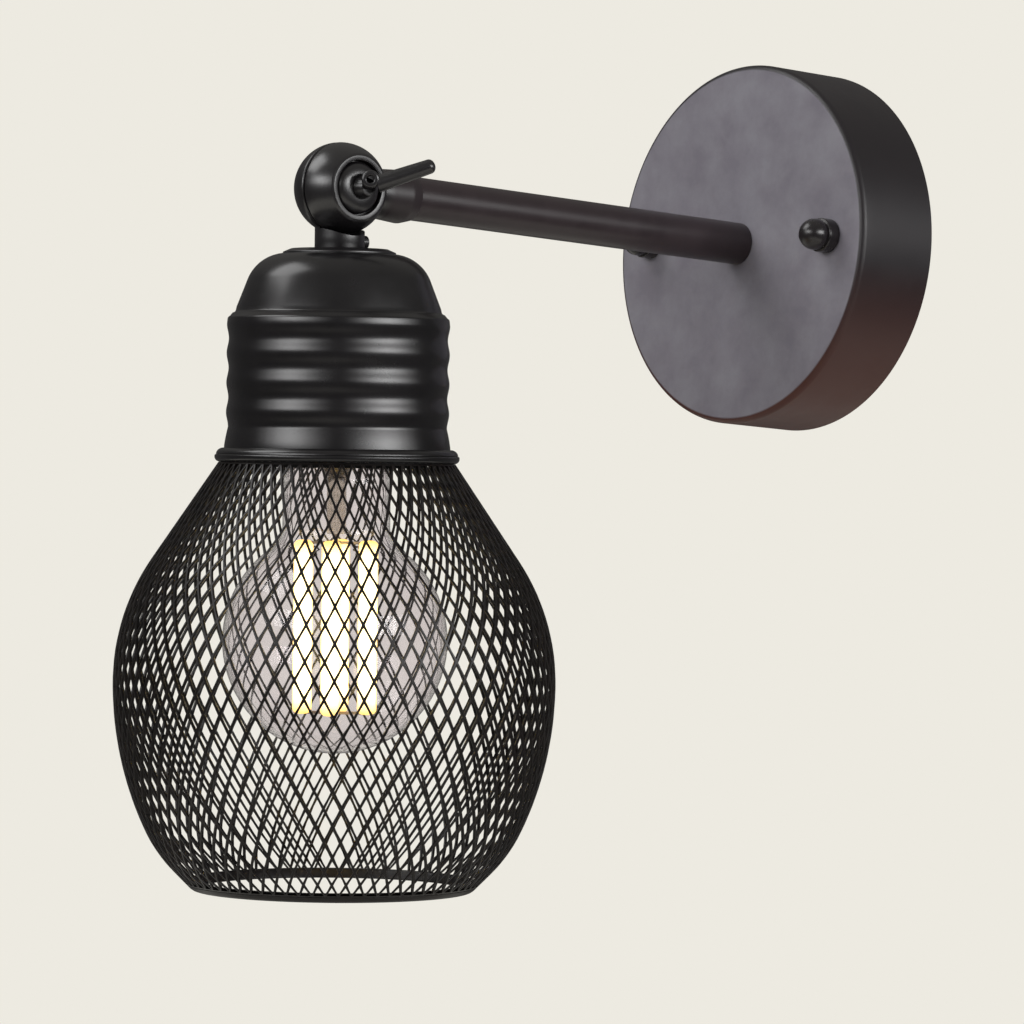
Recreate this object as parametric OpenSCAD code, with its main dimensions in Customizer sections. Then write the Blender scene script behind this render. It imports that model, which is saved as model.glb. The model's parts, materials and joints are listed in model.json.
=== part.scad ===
// Cage wall light: a round canopy on the wall, a straight arm, a split ball
// joint clamped by a lever screw, and a lamp head with a ribbed cap, a mesh
// cage open at the bottom, and a lamp with four glowing rods.
//
// The origin is the centre of the canopy's back, on the wall. -Y points out
// of the wall, +X to the right of someone who faces it, +Z up.
// Sizes along the lamp head are measured down its axis from the ball's centre.

/* [Canopy] */
// Outer diameter of the canopy
canopy_d = 102; // [98:1:120]
// Depth of the canopy, from the wall to its front face
canopy_depth = 26.5; // [25:0.5:32]
// Sheet thickness of the canopy
canopy_wall = 1; // [0.8:0.1:1.4]
// Radius of the canopy's front edge
canopy_edge_r = 1.8; // [1.5:0.1:4]

/* [Wall bracket] */
// Width of the bracket strip
bracket_w = 18; // [16:1:22]
// Thickness of the bracket strip
bracket_t = 2; // [1.5:0.1:2.5]
// Height of the raised ends above the wall
bracket_rise = 5; // [4.5:0.5:6]
// Strip left beyond each stud
bracket_end = 6; // [5:0.5:7]
// Distance between the centres of the two wall screw slots
slot_spacing = 30; // [28:1:32]
// End to end length of a slot
slot_len = 10; // [8:0.5:11]
// Width of a slot
slot_w = 4.6; // [4.2:0.1:5]
// Diameter of the hole for the supply cable
cable_hole_d = 14; // [11:0.5:16]

/* [Fixings] */
// Distance between the two canopy studs
stud_spacing = 74.5; // [73:0.5:76]
// Height of the two studs above the canopy's centre
stud_rise = 1.3; // [1:0.1:1.6]
// Diameter of a stud
stud_d = 4; // [3.5:0.1:4.5]
// Diameter of a stud's head
stud_head_d = 7; // [6:0.1:8]
// Diameter of a cap nut's skirt
nut_d = 9.5; // [9:0.1:10]
// Height of a cap nut's skirt
nut_skirt_h = 3.8; // [3:0.1:4.2]
// Diameter of a cap nut's ball
nut_ball_d = 8.7; // [8.2:0.1:9]
// Overall height of a cap nut
nut_h = 9.8; // [9.4:0.1:11]

/* [Arm] */
// Reach, from the canopy's face to the centre of the ball joint
arm_reach = 142.4; // [120:1:180]
// Outer diameter of the arm tube
arm_d = 11.8; // [11.6:0.1:12.2]
// Wall of the arm tube
arm_wall = 0.9; // [0.8:0.1:1]
// Length of the arm nipple
arm_nipple_len = 24; // [22:0.5:25]
// Inner diameter of both hollow nipples
nipple_bore_d = 7; // [6:0.1:7.4]
// Width across the flats of the nipple nut
lock_nut_af = 14; // [13:0.5:17]
// Thickness of the nipple nut
lock_nut_t = 3.4; // [3:0.1:4]

/* [Ball joint] */
// Diameter of the ball
ball_d = 24.6; // [24:0.2:25.2]
// Diameter of the neck under the ball
neck_d = 13.3; // [13.2:0.1:14]
// Widest diameter of the arm's collar
collar_d = 14.4; // [14:0.1:15]
// Distance from the ball's centre to the end of the arm's collar
collar_end = 23.2; // [22:0.2:25]
// Distance from the ball's centre to the foot of the neck
neck_end = 16; // [15.6:0.1:17]
// Distance from the ball's centre to its flat face at the lever
ball_face = 8.6; // [8.4:0.1:8.9]
// Radius of the hollow inside the ball
ball_hollow_r = 8.6; // [8.2:0.1:8.8]
// Gap between the two halves of the ball
seam = 0.5; // [0.4:0.05:0.8]
// Diameter of the lever screw
clamp_d = 5; // [4.6:0.1:5.4]
// Diameter of the recess for the domed washer
recess_d = 14.6; // [14.2:0.1:14.8]
// Length of the lever, from its eye to its rounded end
lever_len = 17.3; // [15:0.1:20]
// Diameter of the lever at its root
lever_root_d = 4.7; // [4.2:0.1:4.8]
// Diameter of the lever at its end
lever_tip_d = 3.9; // [3.4:0.1:4.4]
// Diameter of the neck's grub screw
grub_d = 3.7; // [3.2:0.1:3.8]
// How far the grub screw stands out of the neck
grub_proud = 1.9; // [1.5:0.1:2]
// Lean of the lamp head towards the wall, as it hangs
head_tilt = 3.9; // [0:0.1:6]
// Furthest lean of the lamp head towards the wall
tilt_in_limit = 23.9; // [20:0.1:24]
// Furthest lean of the lamp head away from the wall
tilt_out_limit = 120; // [90:1:125]

/* [Cap] */
// Thickness of the round plate on the cap
plate_t = 1.25; // [1:0.05:1.5]
// Diameter of the round plate on the cap
plate_d = 30; // [29:0.2:30.4]
// Sheet thickness of the cap
cap_wall = 1; // [0.8:0.1:1.2]
// Radius of the cap's flat top
cap_flat_r = 14; // [13.5:0.1:14.5]
// Radius of the dome's rounded edge
cap_round_r = 11; // [10:0.5:12]
// Depth of the dome
cap_dome_h = 15.6; // [15:0.1:17]
// How far the ribs rise and fall
rib_h = 0.28; // [0.2:0.02:0.4]
// Distance between ribs
rib_pitch = 7.8; // [7:0.1:8]
// Number of ribs
rib_count = 4; // [3:1:4]
// Height of the cap, from its flat top to its rim
cap_h = 53.4; // [52.6:0.1:54.2]
// How far the folded rim stands out of the cap's side
rim_out = 2; // [1.8:0.05:2.2]
// Height of the folded rim
rim_h = 1.7; // [1.5:0.05:1.9]

/* [Lampholder] */
// Outer radius of the lampholder's thread
holder_r = 19.9; // [19.5:0.1:20.1]
// Wall of the lampholder
holder_wall = 2.2; // [2:0.1:2.4]
// Depth of the lampholder, from its top to its mouth
holder_h = 54.8; // [54:0.1:56]
// Height of the lampholder's domed upper part
holder_dome_h = 18.8; // [18:0.1:19.4]
// Thickness of the porcelain core
core_t = 3.5; // [3:0.1:3.8]
// Inner radius of the screw shell in the lampholder
socket_r = 13.4; // [13.35:0.05:13.5]
// Height of the screw shell in the lampholder
socket_h = 20; // [18:0.5:22]
// Height of a shade ring
shade_ring_h = 3; // [2.5:0.1:3.2]

/* [Cage] */
// Widest radius of the cage
cage_r = 58.7; // [54:0.5:62]
// Depth of the widest point below the ball's centre
cage_widest = 131; // [128:0.5:134]
// Radius of the cage under its collar
cage_top_r = 31.4; // [31.3:0.1:31.7]
// Angle of the cage's upper cone from the axis
cage_cone = 34; // [33:0.5:36]
// Radius of the curve below the widest point
cage_low_curve = 92; // [85:1:100]
// Angle at which the lower curve turns tighter
cage_turn = 25; // [22:0.5:27]
// Radius of the tighter curve near the hem
cage_hem_curve = 40; // [36:1:42]
// Angle of the cage where it meets the hem
cage_foot = 45; // [42:0.5:47]
// Length of the last straight stretch to the hem
cage_foot_len = 4.6; // [4:0.1:5]
// Sheet thickness of the mesh, measured from the axis
mesh_t = 0.8; // [0.7:0.05:1]
// Width of a strand of the mesh
strand_w = 1.5; // [1.2:0.1:1.8]
// Number of openings round the cage
mesh_count = 32; // [24:2:34]
// Number of half rows of openings from the collar to the hem
mesh_rows = 12; // [10:2:12]
// Width of the closed band at each end of the mesh
mesh_band = 1.2; // [0.8:0.1:1.6]
// Thickness of the collar's flat web
collar_t = 0.8; // [0.7:0.05:0.9]
// Height of the collar's outer roll
collar_roll_h = 2; // [1.8:0.1:2.2]
// Wall of the hem band, measured from the axis
hem_wall = 1.6; // [1.4:0.1:2]
// Height of the hem band
hem_h = 2.6; // [2.4:0.1:3]

/* [Lamp] */
// Widest radius of the glass
glass_r = 29.9; // [28:0.1:30]
// Radius of the glass neck
glass_neck_r = 14.3; // [13.8:0.1:14.4]
// Length of the lamp, from its contact to the end of the glass
lamp_len = 106; // [104:0.5:107]
// Radius of the hollow curve from the glass neck into the round
glass_neck_curve_r = 7.3; // [6:0.1:12]
// Thickness of the glass
glass_wall = 0.8; // [0.6:0.05:0.9]
// Radius over the lamp's thread
lamp_thread_r = 13.2; // [13.1:0.02:13.25]
// Thread pitch of the lamp cap
lamp_pitch = 3.629; // [3.5:0.001:3.7]
// Height of the lamp's metal cap
lamp_cap_h = 22; // [21:0.5:22.5]
// Radius of the circle on which the glowing rods stand
rod_ring_r = 8.7; // [8:0.1:10]
// Radius of a glowing rod
rod_r = 0.95; // [0.8:0.05:1.2]
// Length of a glowing rod
rod_len = 44; // [40:0.5:45]

/* [Wiring] */
// Diameter of a wire over its insulation
wire_d = 1.9; // [1.6:0.1:2]
// Width of the terminal block
block_w = 20; // [18:0.5:22]
// Height of the terminal block
block_h = 16; // [14:0.5:17]
// Depth of the terminal block
block_depth = 12; // [11:0.5:13]

/* [Hidden] */
$fn = 64;

// clearances
slip = 0.05;
hole_slack = 0.25;
run_gap = 0.1;
cut = 1;

// thread sizes of the hollow nipples
nipple_r = 4.95;
nipple_hole_r = nipple_r + slip;
nipple_clear_r = nipple_r + 0.15;

// places along the arm, measured out from the wall
face_in = canopy_depth - canopy_wall;
ball_r = ball_d / 2;
neck_r = neck_d / 2;
arm_r = arm_d / 2;
half_gap = seam / 2;
swing_clear_r = ball_r + 0.3;
socket_start = swing_clear_r + 0.8;
pivot_d = canopy_depth + arm_reach;
tube_end_d = pivot_d - socket_start;
lock_washer_t = 1;
lock_washer_r = 8.6;
nipple_start_d = face_in - lock_washer_t - lock_nut_t - 6.6;

// places down the head
neck_nipple_top = socket_start;
plate_top = neck_end;
cap_top = plate_top + plate_t;
cap_rim = cap_top + cap_h;
washer_t = 0.85;
washer_r = 9;
holder_top = cap_top + cap_wall + washer_t;
neck_nipple_end = holder_top + 8;
core_top = holder_top + holder_dome_h;
core_bottom = core_top + core_t;
holder_mouth = holder_top + holder_h;
rim_inset = 0.4;
skirt_flare = 0.8;
shoulder_out = 1.7;
collar_r = cage_top_r + 1.1;
skirt_r = collar_r - rim_inset - rim_out;
cap_side_r = skirt_r - skirt_flare;
cap_dome_r = cap_side_r - shoulder_out;
shade_ring_r = (holder_r + cap_side_r - rib_h - cap_wall) / 2;
web_top = cap_rim;
web_bottom = web_top + collar_t;
collar_bottom = web_top + collar_roll_h;
mesh_top = collar_bottom + slip;
terminal_x = 9;
terminal_w = 6;
terminal_h = 4.5;

// ball joint
stub_start = ball_hollow_r + 0.4;
boss_r = 4.2;
cavity_face = 5.2;
recess_floor = ball_face - 2.1;
wire_hole_r = 2.2;
wire_r = wire_d / 2;
wire_gap = 1.2;
wire_lane_x = sqrt(pow(nipple_bore_d / 2 - wire_r - 2 * slip, 2) - pow(wire_r + slip, 2));
wire_hole_x = wire_lane_x + 0.7;
clamp_r = clamp_d / 2;
clamp_tip = 8.4;
clamp_hole_end = 9;
dome_washer_r = recess_d / 2 - 0.35;
dome_washer_top = recess_floor + 3;
hub_r = 3.2;
hub_top_r = 2.3;
hub_top = dome_washer_top + 3;
eye_x = hub_top + 0.6;
eye_r = 2.4;
eye_w = lever_root_d + 0.3;
eye_hole_r = 1;
eye_rise = 2;
lever_bearing = 50.6;
lever_lift = 19.2;
lever_drop = 1.7;
stop_ring_r = 10.2;
stop_pin_r = 0.7;
stop_pin_in = 3;
stop_pin_out = 0.9;
stop_groove_depth = 1.2;
stop_angle = 60;
grub_u = neck_end - 2;
grub_slot = 0.8;

// canopy hardware
stud_in = 0.6;
stud_head_h = 2.2;
stud_hole_r = stud_d / 2 + slip;
stud_clear_r = stud_d / 2 + hole_slack;
nut_bore_h = 7.4;
stud_end_d = canopy_depth + nut_bore_h - 0.6;
tab_w = 26;
tab_top = 33;
block_floor = 15;
pole_x = 4;
pole_r = 1.6;
block_screw_r = 1.75;
block_screw_head_r = 1.3;
earth_x = 6.6 - stud_spacing / 2;
earth_r = 2;

// cage outline, as three arcs between two straight stretches
cage_up_curve = ((cage_widest - mesh_top) * tan(cage_cone) - (cage_r - cage_top_r))
    / (1 / cos(cage_cone) - 1);
cone_end = [
    cage_r - cage_up_curve * (1 - cos(cage_cone)),
    cage_widest - cage_up_curve * sin(cage_cone)
];
turn_at = [
    cage_r - cage_low_curve * (1 - cos(cage_turn)),
    cage_widest + cage_low_curve * sin(cage_turn)
];
foot_at = [
    turn_at[0] - cage_hem_curve * (cos(cage_turn) - cos(cage_foot)),
    turn_at[1] + cage_hem_curve * (sin(cage_foot) - sin(cage_turn))
];
len_cone = norm(cone_end - [cage_top_r, mesh_top]);
len_up = cage_up_curve * cage_cone * PI / 180;
len_low = cage_low_curve * cage_turn * PI / 180;
len_hem = cage_hem_curve * (cage_foot - cage_turn) * PI / 180;
to_widest = len_cone + len_up;
to_turn = to_widest + len_low;
to_foot = to_turn + len_hem;
cage_len = to_foot + cage_foot_len;
row_len = cage_len / mesh_rows;
cage_end = cage_point(cage_len);
hem_gap = 0.28;
hem_top = cage_end[1] - 1;
hem_bottom = hem_top + hem_h;

// lamp
lamp_tip = core_bottom + 2.4;
lamp_cap_top = lamp_tip + 4.8;
lamp_cap_end = lamp_cap_top + lamp_cap_h;
contact_r = 4.7;
insulator_r = 11.5;
insulator_base = lamp_cap_top + 0.8;
glass_end = lamp_tip + lamp_len;
glass_centre = glass_end - glass_r;
neck_curve_h = sqrt((glass_r - glass_neck_r) * (glass_r + glass_neck_r + 2 * glass_neck_curve_r));
neck_curve_start = glass_centre - neck_curve_h;
neck_curve_turn = atan2(neck_curve_h, glass_neck_r + glass_neck_curve_r);
rod_top = glass_end - 11.2 - rod_len;
rod_bottom = rod_top + rod_len;
support_t = 0.8;
support_r = 0.45;
stem_r = 2.6;
stem_end = rod_top - 3;
stem_flare_top = lamp_cap_end + 1.4;

// ---------------------------------------------------------------- helpers

// points of an arc about c, from angle a0 to a1
function arc(c, r, a0, a1, n = 8) =
    [for (i = [0:n]) let (a = a0 + (a1 - a0) * i / n) c + r * [cos(a), sin(a)]];

function unit(v) = v / norm(v);

// the same line moved sideways by t, to its left
function moved(line, t) = [
    for (i = [0:len(line) - 1])
        let (d = unit(line[min(i + 1, len(line) - 1)] - line[max(i - 1, 0)]))
            line[i] + t * [-d[1], d[0]]
];

function reversed(line) = [for (i = [len(line) - 1:-1:0]) line[i]];

// a smooth curve from a to d, leaving towards b and arriving from c
function curve(a, b, c, d, n) = [
    for (i = [0:n])
        let (t = i / n, s = 1 - t)
            s * s * s * a + 3 * s * s * t * b + 3 * s * t * t * c + t * t * t * d
];

// turned solid from [radius, depth] points, its axis down -Z
module turned(points) {
    rotate_extrude()
        polygon([for (p = points) [p[0], -p[1]]]);
}

// turned ring with straight walls
module ring(r_in, r_out, top, bottom) {
    translate([0, 0, -bottom])
        difference() {
            cylinder(r = r_out, h = bottom - top);
            translate([0, 0, -cut])
                cylinder(r = r_in, h = bottom - top + 2 * cut);
        }
}

// moves children out from the wall by d, with their +Z pointing out
module out(d) {
    translate([0, -d, 0])
        rotate([90, 0, 0])
            children();
}

// moves children to a stud's axis, to the right for side 1 and the left for -1
module at_stud(side) {
    translate([side * stud_spacing / 2, 0, stud_rise])
        children();
}

// moves children from the ball's centre to its place at the end of the arm
module at_pivot() {
    translate([0, -pivot_d, 0])
        children();
}

// moves children from the upright head's frame to its leaning place
module in_head() {
    at_pivot()
        rotate([head_tilt, 0, 0])
            children();
}

// cylinder along +X from x0 to x1
module along_x(r, x0, x1) {
    translate([x0, 0, 0])
        rotate([0, 90, 0])
            cylinder(r = r, h = x1 - x0);
}

// cylinder along +Y from y0 to y1
module along_y(r, y0, y1) {
    translate([0, y0, 0])
        rotate([-90, 0, 0])
            cylinder(r = r, h = y1 - y0);
}

// cylinder down -Z from depth u0 to u1
module down(r, u0, u1) {
    translate([0, 0, -u1])
        cylinder(r = r, h = u1 - u0);
}

// round tube along a route, with rings square to it
module swept(route, r, side, sides = 8) {
    last = len(route) - 1;
    rings = [
        for (i = [0:last])
            let (
                d = unit(route[min(i + 1, last)] - route[max(i - 1, 0)]),
                a = unit(cross(d, side)),
                b = cross(d, a)
            )
            for (k = [0:sides - 1])
                route[i] + r * (cos(360 * k / sides) * a + sin(360 * k / sides) * b)
    ];
    walls = [
        for (i = [0:last - 1], k = [0:sides - 1])
            let (
                p = i * sides + k,
                q = i * sides + (k + 1) % sides
            )
            each [[p, p + sides, q + sides], [p, q + sides, q]]
    ];
    ends = [
        [for (k = [0:sides - 1]) k],
        [for (k = [sides - 1:-1:0]) last * sides + k]
    ];
    polyhedron(rings, concat(walls, ends));
}

// ---------------------------------------------------------------- at the wall

module canopy() {
    corner = canopy_d / 2 - canopy_edge_r;
    outer = concat([[canopy_d / 2, 0]],
        arc([corner, canopy_depth - canopy_edge_r], canopy_edge_r, 0, 90));
    inner = concat(
        arc([corner, canopy_depth - canopy_edge_r], canopy_edge_r - canopy_wall, 90, 0),
        [[canopy_d / 2 - canopy_wall, 0]]);
    color("#6b6468")
        difference() {
            out(0)
                rotate_extrude($fn = 128)
                    polygon(concat(outer, [[0, canopy_depth], [0, face_in]], inner));
            out(face_in - cut)
                cylinder(r = nipple_clear_r, h = canopy_wall + 2 * cut);
            for (side = [-1, 1])
                at_stud(side)
                    out(face_in - cut)
                        cylinder(r = stud_clear_r, h = canopy_wall + 2 * cut);
        }
}

// hat-shaped strip: its middle lies on the wall, its ends stand off it
module wall_bracket() {
    end_x = stud_spacing / 2 + bracket_end;
    ramp_x = stud_spacing / 2 - 10;
    foot_x = ramp_x - bracket_rise;
    step = [[foot_x, 0], [ramp_x, bracket_rise], [end_x, bracket_rise]];
    upper = [[end_x, bracket_rise + bracket_t], [ramp_x, bracket_rise + bracket_t],
        [foot_x, bracket_t]];
    right = concat(step, upper);
    left = [for (p = reversed(right)) [-p[0], p[1]]];
    color("#b9bcc0")
        difference() {
            union() {
                translate([0, 0, -bracket_w / 2])
                    linear_extrude(bracket_w)
                        polygon([for (p = concat(right, left)) [p[0], -p[1]]]);
                translate([-tab_w / 2, -bracket_t, 0])
                    cube([tab_w, bracket_t, tab_top]);
            }
            out(-cut)
                cylinder(d = cable_hole_d, h = bracket_t + 2 * cut);
            for (side = [-1, 1]) {
                translate([side * slot_spacing / 2, 0, 0])
                    out(-cut)
                        slot(slot_len, slot_w, bracket_t + 2 * cut);
                at_stud(side)
                    out(bracket_rise - cut)
                        cylinder(r = stud_hole_r, h = bracket_t + 2 * cut);
            }
            translate([earth_x, 0, 0])
                out(-cut)
                    cylinder(r = earth_r + slip, h = bracket_rise + bracket_t + 2 * cut);
            translate([0, 0, block_floor + block_h / 2])
                out(-cut)
                    cylinder(r = block_screw_r + slip, h = bracket_t + 2 * cut);
        }
}

// slot with round ends, lying along X
module slot(length, width, depth) {
    reach = (length - width) / 2;
    for (side = [-1, 1])
        translate([side * reach, 0, 0])
            cylinder(d = width, h = depth);
    translate([-reach, -width / 2, 0])
        cube([2 * reach, width, depth]);
}

module fixing_studs() {
    color("#c9cbce")
        for (side = [-1, 1])
            at_stud(side) {
                out(bracket_rise - stud_head_h)
                    difference() {
                        cylinder(d = stud_head_d, h = stud_head_h);
                        translate([-stud_head_d, -0.5, -cut])
                            cube([2 * stud_head_d, 1, stud_in + cut]);
                    }
                out(bracket_rise)
                    cylinder(d = stud_d, h = stud_end_d - bracket_rise);
            }
}

// round skirt, waist and ball, drilled blind from the back
module cap_nuts() {
    ball = nut_ball_d / 2;
    color("#55505a")
        for (side = [-1, 1])
            at_stud(side)
                out(canopy_depth)
                    difference() {
                        union() {
                            rotate_extrude()
                                polygon([
                                    [0, 0], [nut_d / 2 - 0.3, 0], [nut_d / 2, 0.3],
                                    [nut_d / 2, nut_skirt_h - 0.4],
                                    [nut_d / 2 - 0.4, nut_skirt_h],
                                    [ball * 0.8, nut_skirt_h], [0, nut_skirt_h + 1]
                                ]);
                            translate([0, 0, nut_h - ball])
                                sphere(r = ball);
                        }
                        translate([0, 0, -cut])
                            cylinder(r = stud_hole_r, h = nut_bore_h + cut);
                    }
}

module earth_screw() {
    head_d = bracket_rise + bracket_t;
    color("#c9a24b")
        translate([earth_x, 0, 0])
            union() {
                out(1)
                    cylinder(r = earth_r, h = head_d - 1);
                out(head_d)
                    cylinder(r = earth_r + 1.4, h = 0.8);
                out(head_d + 0.8)
                    difference() {
                        cylinder(r = earth_r + 1.1, h = 2.2);
                        translate([-5, -0.4, 1.2])
                            cube([10, 0.8, 2]);
                    }
            }
}

// two-pole block on the bracket's tab, with a screw hole in its middle
module terminal_block() {
    floor_z = block_floor;
    color("#e8e6df")
        difference() {
            translate([-block_w / 2, -bracket_t - block_depth, floor_z])
                cube([block_w, block_depth, block_h]);
            for (side = [-1, 1])
                translate([side * pole_x * 1.5, -bracket_t - block_depth / 2, floor_z - cut])
                    cylinder(r = pole_r, h = block_h + 2 * cut);
            for (side = [-1, 1], z = [0.25, 0.75])
                translate([side * pole_x * 1.5, 0, floor_z + block_h * z])
                    out(bracket_t + block_depth / 2)
                        cylinder(r = block_screw_head_r + slip, h = block_depth / 2 + cut);
            translate([0, 0, floor_z + block_h / 2])
                out(bracket_t - cut)
                    cylinder(r = block_screw_r + slip, h = block_depth + 2 * cut);
        }
}

// four clamping screws, and the screw that holds the block
module terminal_screws() {
    color("#d0d2d4") {
        for (side = [-1, 1], z = [0.25, 0.75])
            translate([side * pole_x * 1.5, 0, block_floor + block_h * z])
                out(bracket_t + block_depth / 2 + wire_r + slip)
                    cylinder(r = block_screw_head_r, h = block_depth / 2 - wire_r - 1.5);
        translate([0, 0, block_floor + block_h / 2]) {
            out(slip)
                cylinder(r = block_screw_r, h = bracket_t + block_depth - slip);
            out(bracket_t + block_depth)
                cylinder(r = block_screw_r + 1.2, h = 1.4);
        }
    }
}

// from the earth screw along the bracket to the lock washer's tag
module earth_wire() {
    start = [earth_x + earth_r + 1.1 + run_gap, -bracket_rise - bracket_t - 2.2, 0];
    finish = [-lock_washer_r - wire_r - 0.3, -face_in + wire_r + 0.3, 0];
    route = concat(
        curve(start, start + [6, 0, 0], finish + [-7, 6, 0], finish + [-2.5, 0.6, 0], 14),
        [finish]);
    color("#7f9a3a")
        swept(route, wire_r, [0, 0, 1]);
}

// two wires from the block, through the nipple and the tube, into the ball
module arm_wires() {
    block_d = bracket_t + block_depth / 2;
    nip = nipple_start_d + 3;
    color("#6a4a34")
        for (side = [-1, 1]) {
            top = [side * pole_x * 1.5, -block_d, block_floor + 2];
            inner = [0, -nip, side * wire_gap];
            far = [0, -tube_end_d + 24, side * wire_gap];
            end = [wire_lane_x, -tube_end_d + 1, side * (wire_r + slip)];
            swept(
                concat(
                    curve(top, top - [0, 0, 12], inner + [0, 9, 0], inner, 12),
                    curve(far, far - [0, 10, 0], end + [0, 10, 0], end, 10),
                    [[end[0], -pivot_d + boss_r + 2, end[2]]]),
                wire_r, [1, 0, 0]);
        }
}

// ---------------------------------------------------------------- the arm

module arm_nipple() {
    color("#c2a35a")
        out(nipple_start_d)
            difference() {
                cylinder(r = nipple_r, h = arm_nipple_len);
                translate([0, 0, -cut])
                    cylinder(d = nipple_bore_d, h = arm_nipple_len + 2 * cut);
            }
}

module lock_washer() {
    teeth = 12;
    color("#b0b3b6")
        out(face_in - lock_washer_t)
            difference() {
                cylinder(r = lock_washer_r, h = lock_washer_t);
                translate([0, 0, -cut])
                    cylinder(r = nipple_clear_r, h = lock_washer_t + 2 * cut);
                for (i = [0:teeth - 1])
                    rotate(360 * (i + 0.5) / teeth)
                        translate([lock_washer_r - 0.9, -0.5, -cut])
                            cube([2, 1, lock_washer_t + 2 * cut]);
            }
}

module lock_nut() {
    color("#b0b3b6")
        out(face_in - lock_washer_t - lock_nut_t)
            difference() {
                cylinder(r = lock_nut_af / sqrt(3), h = lock_nut_t, $fn = 6);
                translate([0, 0, -cut])
                    cylinder(r = nipple_hole_r, h = lock_nut_t + 2 * cut);
            }
}

module arm_tube() {
    length = tube_end_d - canopy_depth;
    bevel = 0.3;
    color("#5a5458")
        out(canopy_depth)
            rotate_extrude()
                polygon([
                    [arm_r - arm_wall, 0], [arm_r - bevel, 0], [arm_r, bevel],
                    [arm_r, length], [arm_r - arm_wall, length]
                ]);
}

// ---------------------------------------------------------------- ball joint

// [radius, x] points on a ball about the X axis, from x0 to x1
function ball_arc(r, x0, x1, n = 12) = [
    for (i = [0:n])
        let (a = asin(x0 / r) + (asin(x1 / r) - asin(x0 / r)) * i / n)
            r * [cos(a), sin(a)]
];

// turned solid about the X axis, from [radius, x] points
module turned_on_x(points) {
    rotate([0, 90, 0])
        rotate_extrude()
            polygon(points);
}

// hollow half of the ball on the +X side, round the boss of the lever's screw
module half_shell(bore_r, outside) {
    turned_on_x(concat(
        [[bore_r, half_gap], [boss_r, half_gap], [boss_r, cavity_face]],
        reversed(ball_arc(ball_hollow_r, half_gap, cavity_face)),
        outside));
}

// stub turned about +Y from [radius, distance] points: the collar of one half
// and the neck of the other, cut away on the -X side round the other half
module stub(points) {
    difference() {
        rotate([-90, 0, 0])
            rotate_extrude()
                polygon(points);
        turned_on_x([
            [0, -neck_d], [swing_clear_r, -neck_d], [swing_clear_r, half_gap], [0, half_gap]
        ]);
    }
}

module arm_knuckle() {
    bore_r = clamp_r + run_gap;
    outside = concat(
        ball_arc(ball_r, half_gap, ball_face),
        [[recess_d / 2, ball_face], [recess_d / 2, recess_floor], [bore_r, recess_floor]]);
    color("#4b464c")
        at_pivot()
            difference() {
                union() {
                    half_shell(bore_r, outside);
                    stub([
                        [0, stub_start], [neck_r, stub_start], [neck_r + 0.1, socket_start],
                        [collar_d / 2, collar_end - 3.5], [arm_r + 0.35, collar_end],
                        [0, collar_end]
                    ]);
                }
                along_y(arm_r + slip, socket_start, collar_end + cut);
                translate([wire_hole_x, 0, 0])
                    along_y(wire_hole_r, boss_r + 2, socket_start + cut);
                rotate([stop_angle, 0, 0])
                    translate([0, 0, -stop_ring_r])
                        along_x(stop_pin_r + slip, 0, stop_pin_in + slip);
            }
}

module stop_pin() {
    color("#c9cbce")
        at_pivot()
            rotate([stop_angle, 0, 0])
                translate([0, 0, -stop_ring_r])
                    along_x(stop_pin_r, -stop_pin_out, stop_pin_in);
}

// groove in which the stop pin travels, from one tilt limit to the other
module stop_groove() {
    spare = asin(stop_pin_r / stop_ring_r) + 1;
    first = stop_angle - tilt_in_limit - spare;
    sweep = tilt_in_limit + tilt_out_limit + 2 * spare;
    wide = stop_pin_r + 0.15;
    translate([half_gap, 0, 0])
        rotate([first, 0, 0])
            rotate([0, 90, 0])
                rotate_extrude(angle = sweep)
                    translate([stop_ring_r - wide, -cut])
                        square([2 * wide, stop_groove_depth + cut]);
}

// the head's half is the arm's half turned over, with a plain domed outside
module head_knuckle() {
    bore_r = clamp_r + slip;
    outside = concat(
        ball_arc(ball_r, half_gap, ball_r, 16),
        [[0, clamp_hole_end], [bore_r, clamp_hole_end]]);
    color("#4b464c")
        in_head()
            difference() {
                mirror([1, 0, 0])
                    difference() {
                        union() {
                            half_shell(bore_r, outside);
                            rotate([-90, 0, 0])
                                stub([
                                    [0, stub_start], [neck_r, stub_start],
                                    [neck_r, neck_end], [0, neck_end]
                                ]);
                        }
                        translate([wire_hole_x, 0, 0])
                            down(wire_hole_r, boss_r + 2, socket_start + cut);
                        stop_groove();
                    }
                down(nipple_hole_r, socket_start - 0.1, neck_end + cut);
                translate([0, 0, -grub_u])
                    along_y(grub_d / 2 + slip, 0, neck_r + cut);
            }
}

module friction_washer() {
    color("#d8d2c4")
        in_head()
            difference() {
                along_x(boss_r - 0.1, -half_gap + slip, half_gap - slip);
                along_x(clamp_r + 0.2, -cut, cut);
            }
}

// domed washer in the recess of the arm's half
module domed_washer() {
    rise = dome_washer_top - recess_floor - slip;
    edge = 0.5;
    flat_r = hub_r - 0.2;
    span = dome_washer_r - flat_r;
    height = rise - edge;
    dome = [for (i = [0:8]) let (a = 90 * i / 8)
        [flat_r + span * cos(a), edge + height * sin(a)]];
    color("#6e6870")
        in_head()
            translate([recess_floor + slip, 0, 0])
                rotate([0, 90, 0])
                    rotate_extrude()
                        polygon(concat(
                            [[clamp_r + run_gap, 0], [dome_washer_r, 0]],
                            dome, [[clamp_r + run_gap, rise]]));
}

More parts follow.
